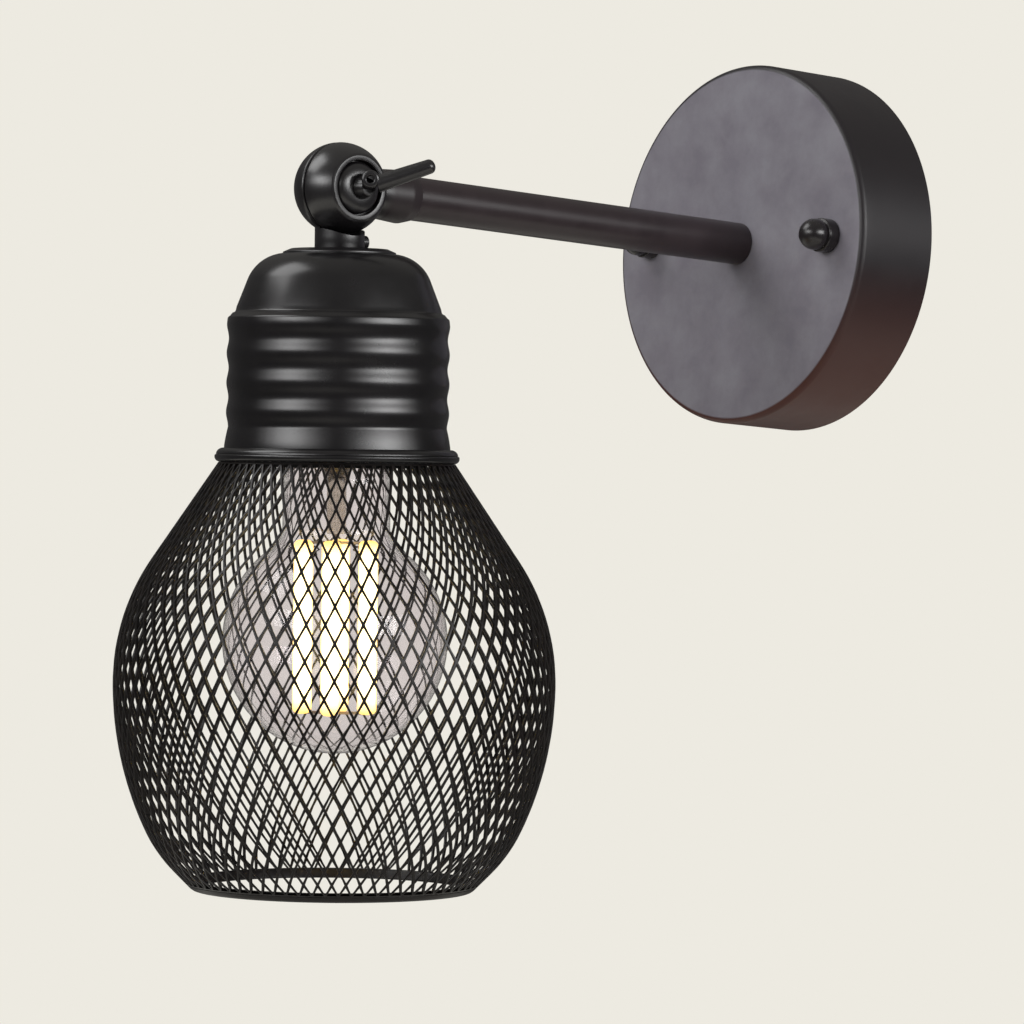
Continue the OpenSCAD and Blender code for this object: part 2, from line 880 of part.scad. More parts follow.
// screw with a tapered hub, an eye on the hub and a round lever out of the eye
module clamp_lever() {
    hub_foot = dome_washer_top + slip;
    color("#8d8790")
        in_head()
            union() {
                along_x(clamp_r, -clamp_tip, hub_foot + cut / 2);
                difference() {
                    union() {
                        turned_on_x([
                            [0, hub_foot], [hub_r, hub_foot], [hub_top_r, hub_top],
                            [0, hub_top]
                        ]);
                        at_eye()
                            along_y(eye_r, -eye_w / 2, eye_w / 2);
                    }
                    at_eye()
                        along_y(eye_hole_r, -eye_w, eye_w);
                }
                at_eye()
                    lever_bar();
            }
}

// moves children to the eye, with the lever's run along their +X
module at_eye() {
    translate([eye_x, 0, eye_rise])
        rotate([0, 0, lever_bearing])
            children();
}

// round bar just under the eye's middle, rising and tapering to a round end
module lever_bar() {
    root_r = lever_root_d / 2;
    tip_r = lever_tip_d / 2;
    rotate([0, -lever_lift, 0])
        translate([0, 0, -lever_drop])
            turned_on_x(concat(
                [[0, 0.4], [root_r, 0.4]],
                [for (a = [0:15:75])
                    [tip_r * cos(a), lever_len - tip_r * 0.8 * (1 - sin(a))]],
                [[0, lever_len]]));
}

module grub_screw() {
    length = neck_r + grub_proud - nipple_r - slip;
    color("#3c3a3e")
        in_head()
            translate([0, 0, -grub_u])
                difference() {
                    along_y(grub_d / 2, neck_r + grub_proud - length, neck_r + grub_proud);
                    translate([-grub_slot / 2, neck_r + grub_proud - 1, -grub_d])
                        cube([grub_slot, 2, 2 * grub_d]);
                }
}

module neck_nipple() {
    color("#c2a35a")
        in_head()
            ring(nipple_bore_d / 2, nipple_r, neck_nipple_top, neck_nipple_end);
}

// ---------------------------------------------------------------- cap

module cap_plate() {
    edge = 0.35;
    slope = 2.1;
    r = plate_d / 2;
    color("#77707a")
        in_head()
            turned([
                [nipple_clear_r, plate_top], [r - slope, plate_top], [r, cap_top - edge],
                [r, cap_top], [nipple_clear_r, cap_top]
            ]);
}

// dome, shoulder, ribs and skirt of the cap's outside
function cap_line() =
    let (
        dome_tilt = 22,
        dome_foot = cap_top + cap_dome_h,
        side_top = dome_foot + 2,
        first_rib = side_top + 1.25,
        ribs_end = first_rib + rib_count * rib_pitch - rib_pitch / 2,
        steps = 8 * rib_count + 4,
        valley_r = cap_side_r - rib_h,
        flare = skirt_r - valley_r
    )
    concat(
        [[nipple_clear_r, cap_top]],
        arc([cap_flat_r, cap_top + cap_round_r], cap_round_r, -90, -dome_tilt, 10),
        [[cap_dome_r, dome_foot], [cap_dome_r + 0.9, dome_foot + 0.8]],
        [for (i = [0:steps])
            let (u = side_top + (ribs_end - side_top) * i / steps)
                [cap_side_r + rib_h * cos(360 * (u - first_rib) / rib_pitch), u]],
        [for (i = [1:6])
            [valley_r + flare * sin(15 * i), ribs_end + (cap_rim - ribs_end) * i / 6]]);

module lamp_cap() {
    outside = cap_line();
    inside = [for (p = moved(outside, cap_wall)) [p[0], min(p[1], cap_rim)]];
    color("#5f5a62")
        in_head()
            union() {
                turned(concat(outside, reversed(inside)));
                turned(concat(
                    [[skirt_r - cap_wall / 2, cap_rim - rim_h]],
                    [for (a = [0:15:90])
                        [skirt_r + rim_out * sin(a), cap_rim - rim_h * cos(a)]],
                    [[skirt_r - cap_wall / 2, cap_rim]]));
            }
}

module tooth_washer() {
    color("#b0b3b6")
        in_head()
            ring(nipple_clear_r, washer_r, holder_top - washer_t, holder_top);
}

// ---------------------------------------------------------------- lampholder

module holder_dome() {
    neck = 11;
    r = holder_r - 0.9;
    slope_end = holder_top + 9;
    wall = holder_wall - 0.2;
    color("#2a2829")
        in_head()
            turned([
                [nipple_hole_r, holder_top], [neck, holder_top], [r, slope_end],
                [r, core_top], [r - wall, core_top], [r - wall, slope_end + 1.2],
                [neck - 1, holder_top + wall], [8.2, holder_top + wall],
                [8.2, neck_nipple_end + 0.5], [nipple_hole_r, neck_nipple_end + 0.5]
            ]);
}

module holder_body() {
    bore = holder_r - holder_wall - 1.5;
    pocket = holder_r - holder_wall;
    color("#2a2829")
        in_head()
            turned([
                [pocket, core_top], [holder_r, core_top], [holder_r, holder_mouth],
                [bore, holder_mouth], [bore, core_bottom], [pocket, core_bottom]
            ]);
}

module holder_core() {
    r = holder_r - holder_wall - slip;
    color("#efece4")
        in_head()
            difference() {
                down(r, core_top, core_bottom);
                for (side = [-1, 1])
                    translate([side * terminal_x, 0, 0])
                        down(1.6, core_top - cut, core_bottom + cut);
            }
}

// bent strip under the porcelain, which presses on the lamp's contact
module centre_contact() {
    t = 0.5;
    drop = lamp_tip - run_gap - core_bottom;
    color("#c9a24b")
        in_head()
            translate([0, 2.5, -core_bottom])
                rotate([90, 0, 0])
                    linear_extrude(5)
                        polygon([
                            [-7.5, 0], [-3.2, 0], [-2.2, t - drop], [3, t - drop],
                            [3, -drop], [-2.6, -drop], [-3.6, -t], [-7.5, -t]
                        ]);
}

module socket_shell() {
    color("#c9a24b")
        in_head()
            ring(socket_r, socket_r + 0.6, core_bottom, core_bottom + socket_h);
}

module holder_terminals() {
    color("#c9a24b")
        in_head()
            for (side = [-1, 1])
                translate([side * terminal_x, 0, -core_top]) {
                    difference() {
                        translate([-terminal_w / 2, -terminal_w / 2, 0])
                            cube([terminal_w, terminal_w, terminal_h]);
                        translate([0, 0, -cut])
                            cylinder(r = wire_r + slip, h = terminal_h + 2 * cut);
                    }
                    translate([side * terminal_w / 2, 0, terminal_h / 2])
                        rotate([0, side * 90, 0])
                            cylinder(r = 1.7, h = 1.2);
                }
}

// two wires from the ball, down the neck, to the lampholder's terminals
module head_wires() {
    start_u = boss_r + 2;
    inner_u = neck_nipple_end + 1;
    color("#6a4a34")
        in_head()
            for (side = [-1, 1]) {
                start = [-wire_lane_x, side * (wire_r + slip), -start_u];
                neck_in = [-wire_lane_x, side * (wire_r + slip), -socket_start - 0.5];
                neck_out = [0, side * wire_gap, -inner_u];
                end = [side * terminal_x, 0, -core_top + 1];
                lead = [0, 0, terminal_h - 0.5];
                swept(
                    concat(
                        [start],
                        curve(neck_in, neck_in - [0, 0, 5], neck_out + [0, 0, 5], neck_out, 10),
                        curve(neck_out - [0, 0, 0.8], neck_out - [0, 0, 3],
                            end + lead + [0, 0, 3], end + lead, 8),
                        [end]),
                    wire_r, [0, 1, 0]);
            }
}

// one ring above the collar's web and one below it, screwed on the lampholder
module shade_rings() {
    grip = holder_r + slip;
    color("#2a2829")
        in_head() {
            ring(grip, shade_ring_r, web_top - shade_ring_h, web_top);
            ring(grip, shade_ring_r, web_bottom, min(web_bottom + shade_ring_h, holder_mouth));
        }
}

// ---------------------------------------------------------------- cage

// point of the cage's outside at a distance s along it from the collar
function cage_point(s) =
    s < len_cone ?
        [cage_top_r, mesh_top] + s * [sin(cage_cone), cos(cage_cone)]
    : s < to_widest ?
        let (a = cage_cone * (s - to_widest) / len_up)
            [cage_r - cage_up_curve * (1 - cos(a)), cage_widest + cage_up_curve * sin(a)]
    : s < to_turn ?
        let (a = cage_turn * (s - to_widest) / len_low)
            [cage_r - cage_low_curve * (1 - cos(a)), cage_widest + cage_low_curve * sin(a)]
    : s < to_foot ?
        let (a = cage_turn + (cage_foot - cage_turn) * (s - to_turn) / len_hem)
            turn_at + cage_hem_curve * [cos(a) - cos(cage_turn), sin(a) - sin(cage_turn)]
    : foot_at + (s - to_foot) * [-sin(cage_foot), cos(cage_foot)];

// place on the mesh: angle round the cage, distance along it, depth under its skin
function mesh_place(a, s, under) =
    let (p = cage_point(s), r = p[0] - under)
        [r * cos(a), r * sin(a), -p[1]];

// how much of its cell an opening fills, when the strands keep their width
function opening_share(s) =
    let (half_w = PI * cage_point(s)[0] / mesh_count)
        1 - strand_w / 2 * norm([half_w, row_len]) / (half_w * row_len);

// flat web, clamped by the shade rings, with a rolled outer edge
module cage_collar() {
    upper = 0.5;
    lower = collar_roll_h - upper - 0.2;
    web_in = holder_r + 0.2;
    color("#5f5a62")
        in_head()
            turned(concat(
                [[web_in, web_top]],
                arc([collar_r - upper, web_top + upper], upper, -90, 0, 6),
                arc([collar_r - lower, collar_bottom - lower], lower, 0, 90, 8),
                [[cage_top_r - 1.2, collar_bottom], [cage_top_r - 1.2, web_bottom],
                    [web_in, web_bottom]]));
}

// expanded mesh: a lattice of diamond openings in a curved sheet
module cage_mesh() {
    step = 360 / mesh_count;
    nodes_all = (mesh_rows + 1) * mesh_count;
    corners_from = 2 * nodes_all;
    corners_all = 4 * nodes_all;

    // crossings of the strands, then the four corners of each opening
    crossings = [
        for (under = [0, mesh_t], j = [0:mesh_rows], i = [0:mesh_count - 1])
            mesh_place((i + (j % 2) / 2) * step, j * row_len, under)
    ];
    corners = [
        for (under = [0, mesh_t], j = [0:mesh_rows], i = [0:mesh_count - 1])
            let (
                s = j * row_len,
                share = opening_share(s),
                mid = (i + (j % 2) / 2 + 0.5) * step,
                end_row = j == 0 || j == mesh_rows,
                edge_s = j == 0 ? mesh_band : j == mesh_rows ? cage_len - mesh_band : s,
                half = step / 2 * (end_row ? share - mesh_band / row_len : share)
            )
            each [
                mesh_place(mid, s - (j == 0 ? 0 : row_len * share), under),
                mesh_place(mid + half, edge_s, under),
                mesh_place(mid, s + (j == mesh_rows ? 0 : row_len * share), under),
                mesh_place(mid - half, edge_s, under)
            ]
    ];

    // cells, as matching rings of crossings and corners, clockwise from outside
    function crossing(j, i) = j * mesh_count + (i + mesh_count) % mesh_count;
    function corner(j, i, k) = corners_from + 4 * crossing(j, i) + k;
    cells = [
        for (j = [0:mesh_rows], i = [0:mesh_count - 1])
            let (
                shift = j % 2,
                top = crossing(j - 1, i + shift),
                right = crossing(j, i + 1),
                bottom = crossing(j + 1, i + shift),
                left = crossing(j, i),
                c = [for (k = [0:3]) corner(j, i, k)]
            )
            j == 0 ? [[left, right, bottom], [c[3], c[1], c[2]]]
            : j == mesh_rows ? [[top, right, left], [c[0], c[1], c[3]]]
            : [[top, right, bottom, left], c]
    ];
    function inside(p) = p < corners_from ? p + nodes_all : p + corners_all;
    skin = [
        for (cell = cells, k = [0:len(cell[0]) - 1])
            let (
                n = (k + 1) % len(cell[0]),
                a = cell[0][k],
                b = cell[0][n],
                c = cell[1][n],
                d = cell[1][k]
            )
            each [
                [a, b, c], [a, c, d],
                [inside(c), inside(b), inside(a)], [inside(d), inside(c), inside(a)],
                [d, c, inside(c)], [d, inside(c), inside(d)]
            ]
    ];
    rims = [
        for (i = [0:mesh_count - 1])
            let (
                a = crossing(0, i),
                b = crossing(0, i + 1),
                c = crossing(mesh_rows, i),
                d = crossing(mesh_rows, i + 1)
            )
            each [
                [b, a, inside(a)], [b, inside(a), inside(b)],
                [c, d, inside(d)], [c, inside(d), inside(c)]
            ]
    ];
    color("#3a3638")
        in_head()
            polyhedron(concat(crossings, corners), concat(skin, rims));
}

// sloping band, rebated at its top for the mesh to lie on
module cage_hem() {
    under = mesh_t + hem_gap;
    step = cage_end[1] + slip;
    function skin(u) = cage_end[0] + (cage_end[1] - u) * tan(cage_foot);
    color("#3a3638")
        in_head()
            turned([
                [skin(hem_top) - under, hem_top], [skin(step) - under, step], [skin(step), step],
                [skin(hem_bottom - 0.5), hem_bottom - 0.5],
                [skin(hem_bottom - 0.5) - 0.6, hem_bottom - 0.1],
                [skin(hem_bottom - 0.5) - 0.9, hem_bottom],
                [skin(hem_bottom) - hem_wall, hem_bottom],
                [skin(hem_top) - under - hem_wall, hem_top]
            ]);
}

// ---------------------------------------------------------------- lamp

module bulb_contact() {
    color("#c0c2c4")
        in_head()
            turned([
                [0, lamp_tip], [contact_r - 2.1, lamp_tip], [contact_r, lamp_tip + 0.8],
                [contact_r, lamp_tip + 1.5], [0, lamp_tip + 1.5]
            ]);
}

module bulb_insulator() {
    color("#1c1a1c")
        in_head()
            turned([
                [0, lamp_tip + 1.5], [contact_r + slip, lamp_tip + 1.5],
                [contact_r + slip, lamp_tip + 1], [contact_r + 0.9, lamp_tip + 1], [insulator_r, lamp_cap_top - 0.4],
                [insulator_r, insulator_base], [0, insulator_base]
            ]);
}

// screw cap with a rolled thread, drawn as rings at the thread's pitch
module bulb_shell() {
    wall = 0.4;
    low = 0.7;
    turns = 5;
    thread_top = lamp_cap_top + 1.2;
    wave = [
        for (i = [0:turns * 8])
            [lamp_thread_r - low * (1 - cos(360 * i / 8 + 180)) / 2,
                thread_top + lamp_pitch * i / 8 * 0.96]
    ];
    outside = concat([[insulator_r + wall + slip, lamp_cap_top]], [[lamp_thread_r - 0.9, lamp_cap_top + 0.3]], wave,
        [[lamp_thread_r - 0.3, lamp_cap_end - 1.2], [lamp_thread_r - 0.3, lamp_cap_end]]);
    color("#c6c3ba")
        in_head()
            turned(concat(outside, reversed(moved(outside, wall))));
}

// small board with its parts, standing in the screw cap
module bulb_driver() {
    board_t = 1.6;
    color("#3f7a4e")
        in_head()
            translate([0, 0, -insulator_base]) {
                translate([-8, -board_t / 2, -16])
                    cube([16, board_t, 16]);
                translate([-5, -board_t / 2 - 4, -11])
                    cube([7, 4, 7]);
                translate([3, board_t / 2, -7])
                    rotate([-90, 0, 0])
                        cylinder(r = 2.4, h = 4);
            }
}

// straight neck, a hollow curve and a round end
function glass_line() =
    let (
        foot = lamp_cap_end - 1.6,
        open_r = lamp_thread_r - 1.4
    )
    concat(
        [[open_r, foot], [open_r, lamp_cap_end + 0.3], [glass_neck_r - 0.5, lamp_cap_end + 4],
            [glass_neck_r, lamp_cap_end + 8]],
        arc([glass_neck_r + glass_neck_curve_r, neck_curve_start], glass_neck_curve_r,
            180, 180 - neck_curve_turn, 8),
        [for (p = arc([0, glass_centre], glass_r, -neck_curve_turn, 90, 20)) p]);

module bulb_glass() {
    outside = glass_line();
    last = len(outside) - 1;
    inside = [
        for (i = [0:last])
            i == last ? outside[i] - [0, glass_wall]
            : moved(outside, glass_wall)[i]
    ];
    color([0.9, 0.92, 0.9, 0.35])
        in_head()
            turned(concat(outside, reversed(inside)));
}

// glass flare and stem that carry the wires into the lamp
module bulb_stem() {
    flare = 6;
    foot_r = lamp_thread_r - 1.4 - glass_wall - 0.3;
    color([0.85, 0.8, 0.7, 0.6])
        in_head()
            turned(concat(
                [[0, lamp_cap_end - 1.4], [foot_r, lamp_cap_end - 1.4],
                    [foot_r, lamp_cap_end - 0.6]],
                arc([stem_r + flare, stem_flare_top + flare], flare, -90, -180, 6),
                [[stem_r, stem_end], [0, stem_end]]));
}

// wire down the middle with a cross at each end of the rods
module bulb_supports() {
    color("#bdbab2")
        in_head() {
            union() {
                down(support_r, stem_end, rod_bottom + support_t);
                for (i = [0:3])
                    rotate(45 + 90 * i) {
                        spoke(rod_top - support_t);
                        spoke(rod_bottom);
                    }
            }
        }
}

module spoke(top) {
    translate([0, -support_r, -top - support_t])
        cube([rod_ring_r + rod_r, 2 * support_r, support_t]);
}

module bulb_rods() {
    color("#ffe9b0")
        in_head()
            for (i = [0:3])
                rotate(45 + 90 * i)
                    translate([rod_ring_r, 0, 0])
                        down(rod_r, rod_top, rod_bottom);
}

canopy();
wall_bracket();
fixing_studs();
cap_nuts();
earth_screw();
terminal_block();
terminal_screws();
earth_wire();
arm_wires();
arm_nipple();
lock_washer();
lock_nut();
arm_tube();
arm_knuckle();
stop_pin();
head_knuckle();
friction_washer();
domed_washer();
clamp_lever();
grub_screw();
neck_nipple();
cap_plate();
lamp_cap();
tooth_washer();
holder_dome();
holder_body();
holder_core();
centre_contact();
socket_shell();
holder_terminals();
head_wires();
shade_rings();
cage_collar();
cage_mesh();
cage_hem();
bulb_contact();
bulb_insulator();
bulb_shell();
bulb_driver();
bulb_glass();
bulb_stem();
bulb_supports();
bulb_rods();
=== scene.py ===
"""Looks of the cage wall light: a dark round canopy, an arm with a clamped ball joint, and a
ribbed cap over an open cage of expanded mesh with a clear lamp glowing in it.

Shapes are worked out in millimetres and put into their meshes in metres. A point of the lamp
head is (x, y, u): x across, y towards the wall, u down the head's axis from the ball's centre.
"""

import json
import math

import bmesh
import bpy
import numpy as np
from mathutils import Matrix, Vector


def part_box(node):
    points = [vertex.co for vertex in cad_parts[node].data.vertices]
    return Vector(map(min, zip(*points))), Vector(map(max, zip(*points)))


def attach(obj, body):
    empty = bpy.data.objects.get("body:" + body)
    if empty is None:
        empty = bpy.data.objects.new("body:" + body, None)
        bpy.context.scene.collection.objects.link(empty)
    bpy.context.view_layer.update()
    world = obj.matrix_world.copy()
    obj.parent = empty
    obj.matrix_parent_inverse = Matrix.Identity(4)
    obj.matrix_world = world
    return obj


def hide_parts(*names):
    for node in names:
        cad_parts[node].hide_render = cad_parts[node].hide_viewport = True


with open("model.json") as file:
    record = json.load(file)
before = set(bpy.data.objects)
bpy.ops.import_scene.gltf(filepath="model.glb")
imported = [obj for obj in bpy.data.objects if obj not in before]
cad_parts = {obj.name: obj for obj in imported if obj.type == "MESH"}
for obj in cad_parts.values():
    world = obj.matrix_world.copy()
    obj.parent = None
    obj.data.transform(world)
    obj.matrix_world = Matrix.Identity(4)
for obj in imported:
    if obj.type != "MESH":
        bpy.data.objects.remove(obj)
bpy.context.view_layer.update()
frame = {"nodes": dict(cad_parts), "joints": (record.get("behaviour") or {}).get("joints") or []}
NODES = frame["nodes"]
MM = 0.001

# ------------------------------------------------------------------ places from the frame

JOINTS = {joint["name"]: joint for joint in frame["joints"]}
PIVOT = np.array(JOINTS["head_tilt"]["pos_m"]) / MM
DOWN = np.array(JOINTS["lamp_travel"]["axis"])
ACROSS = np.array([1.0, 0.0, 0.0])
TO_WALL = np.cross(-DOWN, ACROSS)
X, Y, Z = 0, 1, 2
LOWEST, HIGHEST = 0, 1


def edge_of(node, corner, axis):
    """Where a node's box ends along an axis of the row's frame, in millimetres to the hundredth."""
    return round(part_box(node)[corner][axis] / MM, 2)


def in_head(points):
    """Head points (x, y, u) as row-frame points: the pivot plus x, y and u along the head's axes."""
    points = np.asarray(points, float)
    return PIVOT + points[..., :1] * ACROSS + points[..., 1:2] * TO_WALL + points[..., 2:] * DOWN


def at_pivot(points):
    """Points (x, y, z) counted from the ball's centre, as row-frame points."""
    return PIVOT + np.asarray(points, float)


# ------------------------------------------------------------------ outlines


def arc(centre, radius, start, end, steps):
    """Points on a circle about centre, from the start to the end angle in degrees."""
    angles = np.radians(np.linspace(start, end, steps + 1))
    return np.asarray(centre) + radius * np.stack([np.cos(angles), np.sin(angles)], -1)


def rounded(corners, steps=5):
    """Closed outline through corners (x, y, radius), each replaced by the arc that touches both sides."""
    corners = np.asarray(corners, float)
    outline = []
    for before, corner, after in zip(np.roll(corners, 1, 0), corners, np.roll(corners, -1, 0)):
        here, radius = corner[:2], corner[2]
        back = (before[:2] - here) / np.linalg.norm(before[:2] - here)
        ahead = (after[:2] - here) / np.linalg.norm(after[:2] - here)
        half = math.acos(np.clip(back @ ahead, -1, 1)) / 2
        if radius == 0 or half > math.radians(89):
            outline.append(here)
            continue
        bisector = (back + ahead) / np.linalg.norm(back + ahead)
        centre = here + bisector * radius / math.sin(half)
        first, last = back / math.tan(half) * radius, ahead / math.tan(half) * radius
        start = math.atan2(*(here + first - centre)[::-1])
        turn = math.atan2(*(here + last - centre)[::-1]) - start
        turn = (turn + math.pi) % (2 * math.pi) - math.pi
        outline.extend(arc(centre, radius, math.degrees(start), math.degrees(start + turn), steps))
    return np.array(outline)


def walled(line, wall):
    """Closed outline of a sheet: the line, and the same line moved wall to its left, backwards."""
    line = np.asarray(line, float)
    way = np.gradient(line, axis=0)
    way /= np.linalg.norm(way, axis=1, keepdims=True)
    inner = line + wall * np.stack([-way[:, 1], way[:, 0]], -1)
    return np.concatenate([line, inner[::-1]])


# ------------------------------------------------------------------ surfaces


def grid_faces(rows, columns, wrap_rows=True):
    """Faces between neighbours of a grid; its last column joins the first, and its rows if they wrap."""
    row = np.arange(rows if wrap_rows else rows - 1)
    row, column = np.meshgrid(row, np.arange(columns), indexing="ij")
    next_row, next_column = (row + 1) % rows, (column + 1) % columns
    corners = [
        row * columns + column,
        next_row * columns + column,
        next_row * columns + next_column,
        row * columns + next_column,
    ]
    return np.stack(corners, -1).reshape(-1, 4)


def outward(points, faces):
    """The shell with its faces turned outwards, told by the sign of the volume that they enclose."""
    a, b, c, d = (points[faces[:, k]] for k in range(4))
    volume = (a * np.cross(b, c)).sum() + (a * np.cross(c, d)).sum()
    return points, faces if volume > 0 else faces[:, ::-1]


def turned(outline, place, segments):
    """Solid of revolution: a closed outline of (radius, height) about the place's third axis."""
    outline = np.asarray(outline, float)
    angle = np.linspace(0, 2 * math.pi, segments, endpoint=False)
    radius, height = outline[:, 0][:, None], outline[:, 1][:, None]
    points = [radius * np.cos(angle), radius * np.sin(angle), height + 0 * angle]
    points = place(np.stack(points, -1)).reshape(-1, 3)
    return outward(points, grid_faces(len(outline), segments))


def make_piece(name, body, slot, replaces, *shells, material, smooth=38):
    """One object from shells of (points, faces), welded, smooth up to an angle, on its body."""
    points, faces, start = [], [], 0
    for shell_points, shell_faces in shells:
        points.append(shell_points * MM)
        faces.append(shell_faces + start)
        start += len(shell_points)
    mesh = bpy.data.meshes.new(name)
    mesh.from_pydata(np.concatenate(points).tolist(), [], np.concatenate(faces).tolist())
    shape = bmesh.new()
    shape.from_mesh(mesh)
    bmesh.ops.remove_doubles(shape, verts=shape.verts, dist=1e-6)
    shape.to_mesh(mesh)
    shape.free()
    mesh.shade_smooth()
    mesh.set_sharp_from_angle(angle=math.radians(smooth))
    mesh.materials.append(material)
    piece = bpy.data.objects.new(name, mesh)
    bpy.context.scene.collection.objects.link(piece)
    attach(piece, body)
    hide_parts(*replaces)
    return piece


# ------------------------------------------------------------------ shader groups


def new_group(name, inputs, outputs):
    """Empty shader group: inputs are {name: default number or colour}, outputs {name: socket type}."""
    group = bpy.data.node_groups.new(name, "ShaderNodeTree")
    for label, default in inputs.items():
        kind = "NodeSocketFloat" if isinstance(default, (int, float)) else "NodeSocketColor"
        socket = group.interface.new_socket(label, in_out="INPUT", socket_type=kind)
        socket.default_value = default if kind == "NodeSocketFloat" else (*default, 1)
    for label, kind in outputs.items():
        group.interface.new_socket(label, in_out="OUTPUT", socket_type=kind)
    return group, group.nodes.new("NodeGroupInput"), group.nodes.new("NodeGroupOutput")


def add(tree, kind, links=(), **settings):
    """A node with its settings, and its inputs linked or set from (socket, source or value) pairs."""
    node = tree.nodes.new(kind)
    for key, value in settings.items():
        setattr(node, key, value)
    for socket, source in links:
        if isinstance(source, bpy.types.NodeSocket):
            tree.links.new(source, node.inputs[socket])
        else:
            node.inputs[socket].default_value = source
    return node


def reckoned(tree, operation, *values):
    """A number made from others by one step of arithmetic."""
    return add(tree, "ShaderNodeMath", list(enumerate(values)), operation=operation).outputs[0]


def stretched(tree, vector, scale):
    """A vector with each part multiplied by the scale's."""
    return add(tree, "ShaderNodeVectorMath", [(0, vector), (1, scale)], operation="MULTIPLY").outputs[0]


def reach_of(tree, vector, scale):
    """The length of a vector whose parts are first multiplied by the scale's."""
    flat = stretched(tree, vector, scale)
    return add(tree, "ShaderNodeVectorMath", [(0, flat)], operation="LENGTH").outputs["Value"]


def part_of(tree, vector, axis):
    """One part of a vector: X, Y or Z."""
    return add(tree, "ShaderNodeSeparateXYZ", [(0, vector)]).outputs[axis]


def object_place(tree):
    """The place on the object, in metres of the row's frame."""
    return add(tree, "ShaderNodeTexCoord").outputs["Object"]


def found(tree, kind):
    """The only node of a kind in a material."""
    return next(node for node in tree.nodes if node.type == kind)


def noise(tree, vector, scale, detail=3.0, roughness=0.5):
    """Noise value, 0 to 1, on a vector."""
    links = [("Vector", vector), ("Scale", scale), ("Detail", detail), ("Roughness", roughness)]
    return add(tree, "ShaderNodeTexNoise", links).outputs["Fac"]


def spread(tree, value, low, high, to_low=0.0, to_high=1.0):
    """A value's stretch from low to high, mapped to another one and held within it."""
    links = [("Value", value), ("From Min", low), ("From Max", high), ("To Min", to_low), ("To Max", to_high)]
    return add(tree, "ShaderNodeMapRange", links).outputs["Result"]


def mixed(tree, share, first, second):
    """A colour between two others."""
    return add(tree, "ShaderNodeMix", [(0, share), (6, first), (7, second)], data_type="RGBA").outputs[2]


def sprayed_lacquer_group():
    """Sprayed lacquer: slow clouds in the colour, a fine dry grain, and a few specks of dust under it."""
    group, given, made = new_group(
        "sprayed_lacquer",
        {"Colour": (0.02, 0.02, 0.02), "Cloud Colour": (0.03, 0.03, 0.03), "Cloud Scale": 60.0,
         "Grain Scale": 1800.0, "Speck Scale": 400.0, "Roughness": 0.4, "Roughness Spread": 0.05},
        {"Colour": "NodeSocketColor", "Roughness": "NodeSocketFloat", "Height": "NodeSocketFloat"})
    place = object_place(group)
    value = given.outputs
    cloud = spread(group, noise(group, place, value["Cloud Scale"], 6.0, 0.62), 0.35, 0.68)
    grain = noise(group, place, value["Grain Scale"], 2.0)
    speck = add(group, "ShaderNodeTexVoronoi", [("Vector", place), ("Scale", value["Speck Scale"])])
    speck = spread(group, speck.outputs["Distance"], 0.0, 0.07, 1.0, 0.0)
    colour = mixed(group, cloud, value["Colour"], value["Cloud Colour"])
    rough = reckoned(group, "MULTIPLY_ADD", cloud, value["Roughness Spread"], value["Roughness"])
    height = reckoned(group, "MULTIPLY_ADD", speck, 1.5, grain)
    group.links.new(colour, made.inputs["Colour"])
    group.links.new(rough, made.inputs["Roughness"])
    group.links.new(height, made.inputs["Height"])
    return group


def plain_finish_group():
    """Moulded, plated or turned surface: a slow change of shade and a fine grain, both stretchable."""
    group, given, made = new_group(
        "plain_finish",
        {"Colour": (0.5, 0.5, 0.5), "Dark Colour": (0.3, 0.3, 0.3), "Patch Scale": 90.0,
         "Grain Scale": 1500.0, "Grain Stretch": 1.0, "Roughness": 0.4, "Roughness Spread": 0.15},
        {"Colour": "NodeSocketColor", "Roughness": "NodeSocketFloat", "Height": "NodeSocketFloat"})
    place = object_place(group)
    value = given.outputs
    scale = [("X", 1.0), ("Y", 1.0), ("Z", value["Grain Stretch"])]
    scale = add(group, "ShaderNodeCombineXYZ", scale).outputs[0]
    patch = spread(group, noise(group, place, value["Patch Scale"], 4.0), 0.35, 0.65)
    grain = noise(group, stretched(group, place, scale), value["Grain Scale"], 2.0)
    colour = mixed(group, patch, value["Dark Colour"], value["Colour"])
    rough = reckoned(group, "MULTIPLY_ADD", patch, value["Roughness Spread"], value["Roughness"])
    group.links.new(colour, made.inputs["Colour"])
    group.links.new(rough, made.inputs["Roughness"])
    group.links.new(grain, made.inputs["Height"])
    return group


def finish(name, group, values, bump=0.1, depth=0.00002, **sockets):
    """Material whose colour, roughness and bump come from a shader group; the rest are plain sockets."""
    material = bpy.data.materials.new(name)
    material.use_nodes = True
    tree = material.node_tree
    tree.nodes.clear()
    pattern = tree.nodes.new("ShaderNodeGroup")
    pattern.node_tree = group
    for key, value in values.items():
        pattern.inputs[key].default_value = value if isinstance(value, (int, float)) else (*value, 1)
    relief = add(tree, "ShaderNodeBump",
                 [("Height", pattern.outputs["Height"]), ("Strength", bump), ("Distance", depth)])
    shader = add(tree, "ShaderNodeBsdfPrincipled",
                 [("Base Color", pattern.outputs["Colour"]), ("Roughness", pattern.outputs["Roughness"]),
                  ("Normal", relief.outputs["Normal"])])
    for socket, value in sockets.items():
        shader.inputs[socket.replace("_", " ")].default_value = value
    target = add(tree, "ShaderNodeOutputMaterial")
    tree.links.new(shader.outputs[0], target.inputs["Surface"])
    return material


# ------------------------------------------------------------------ finishes

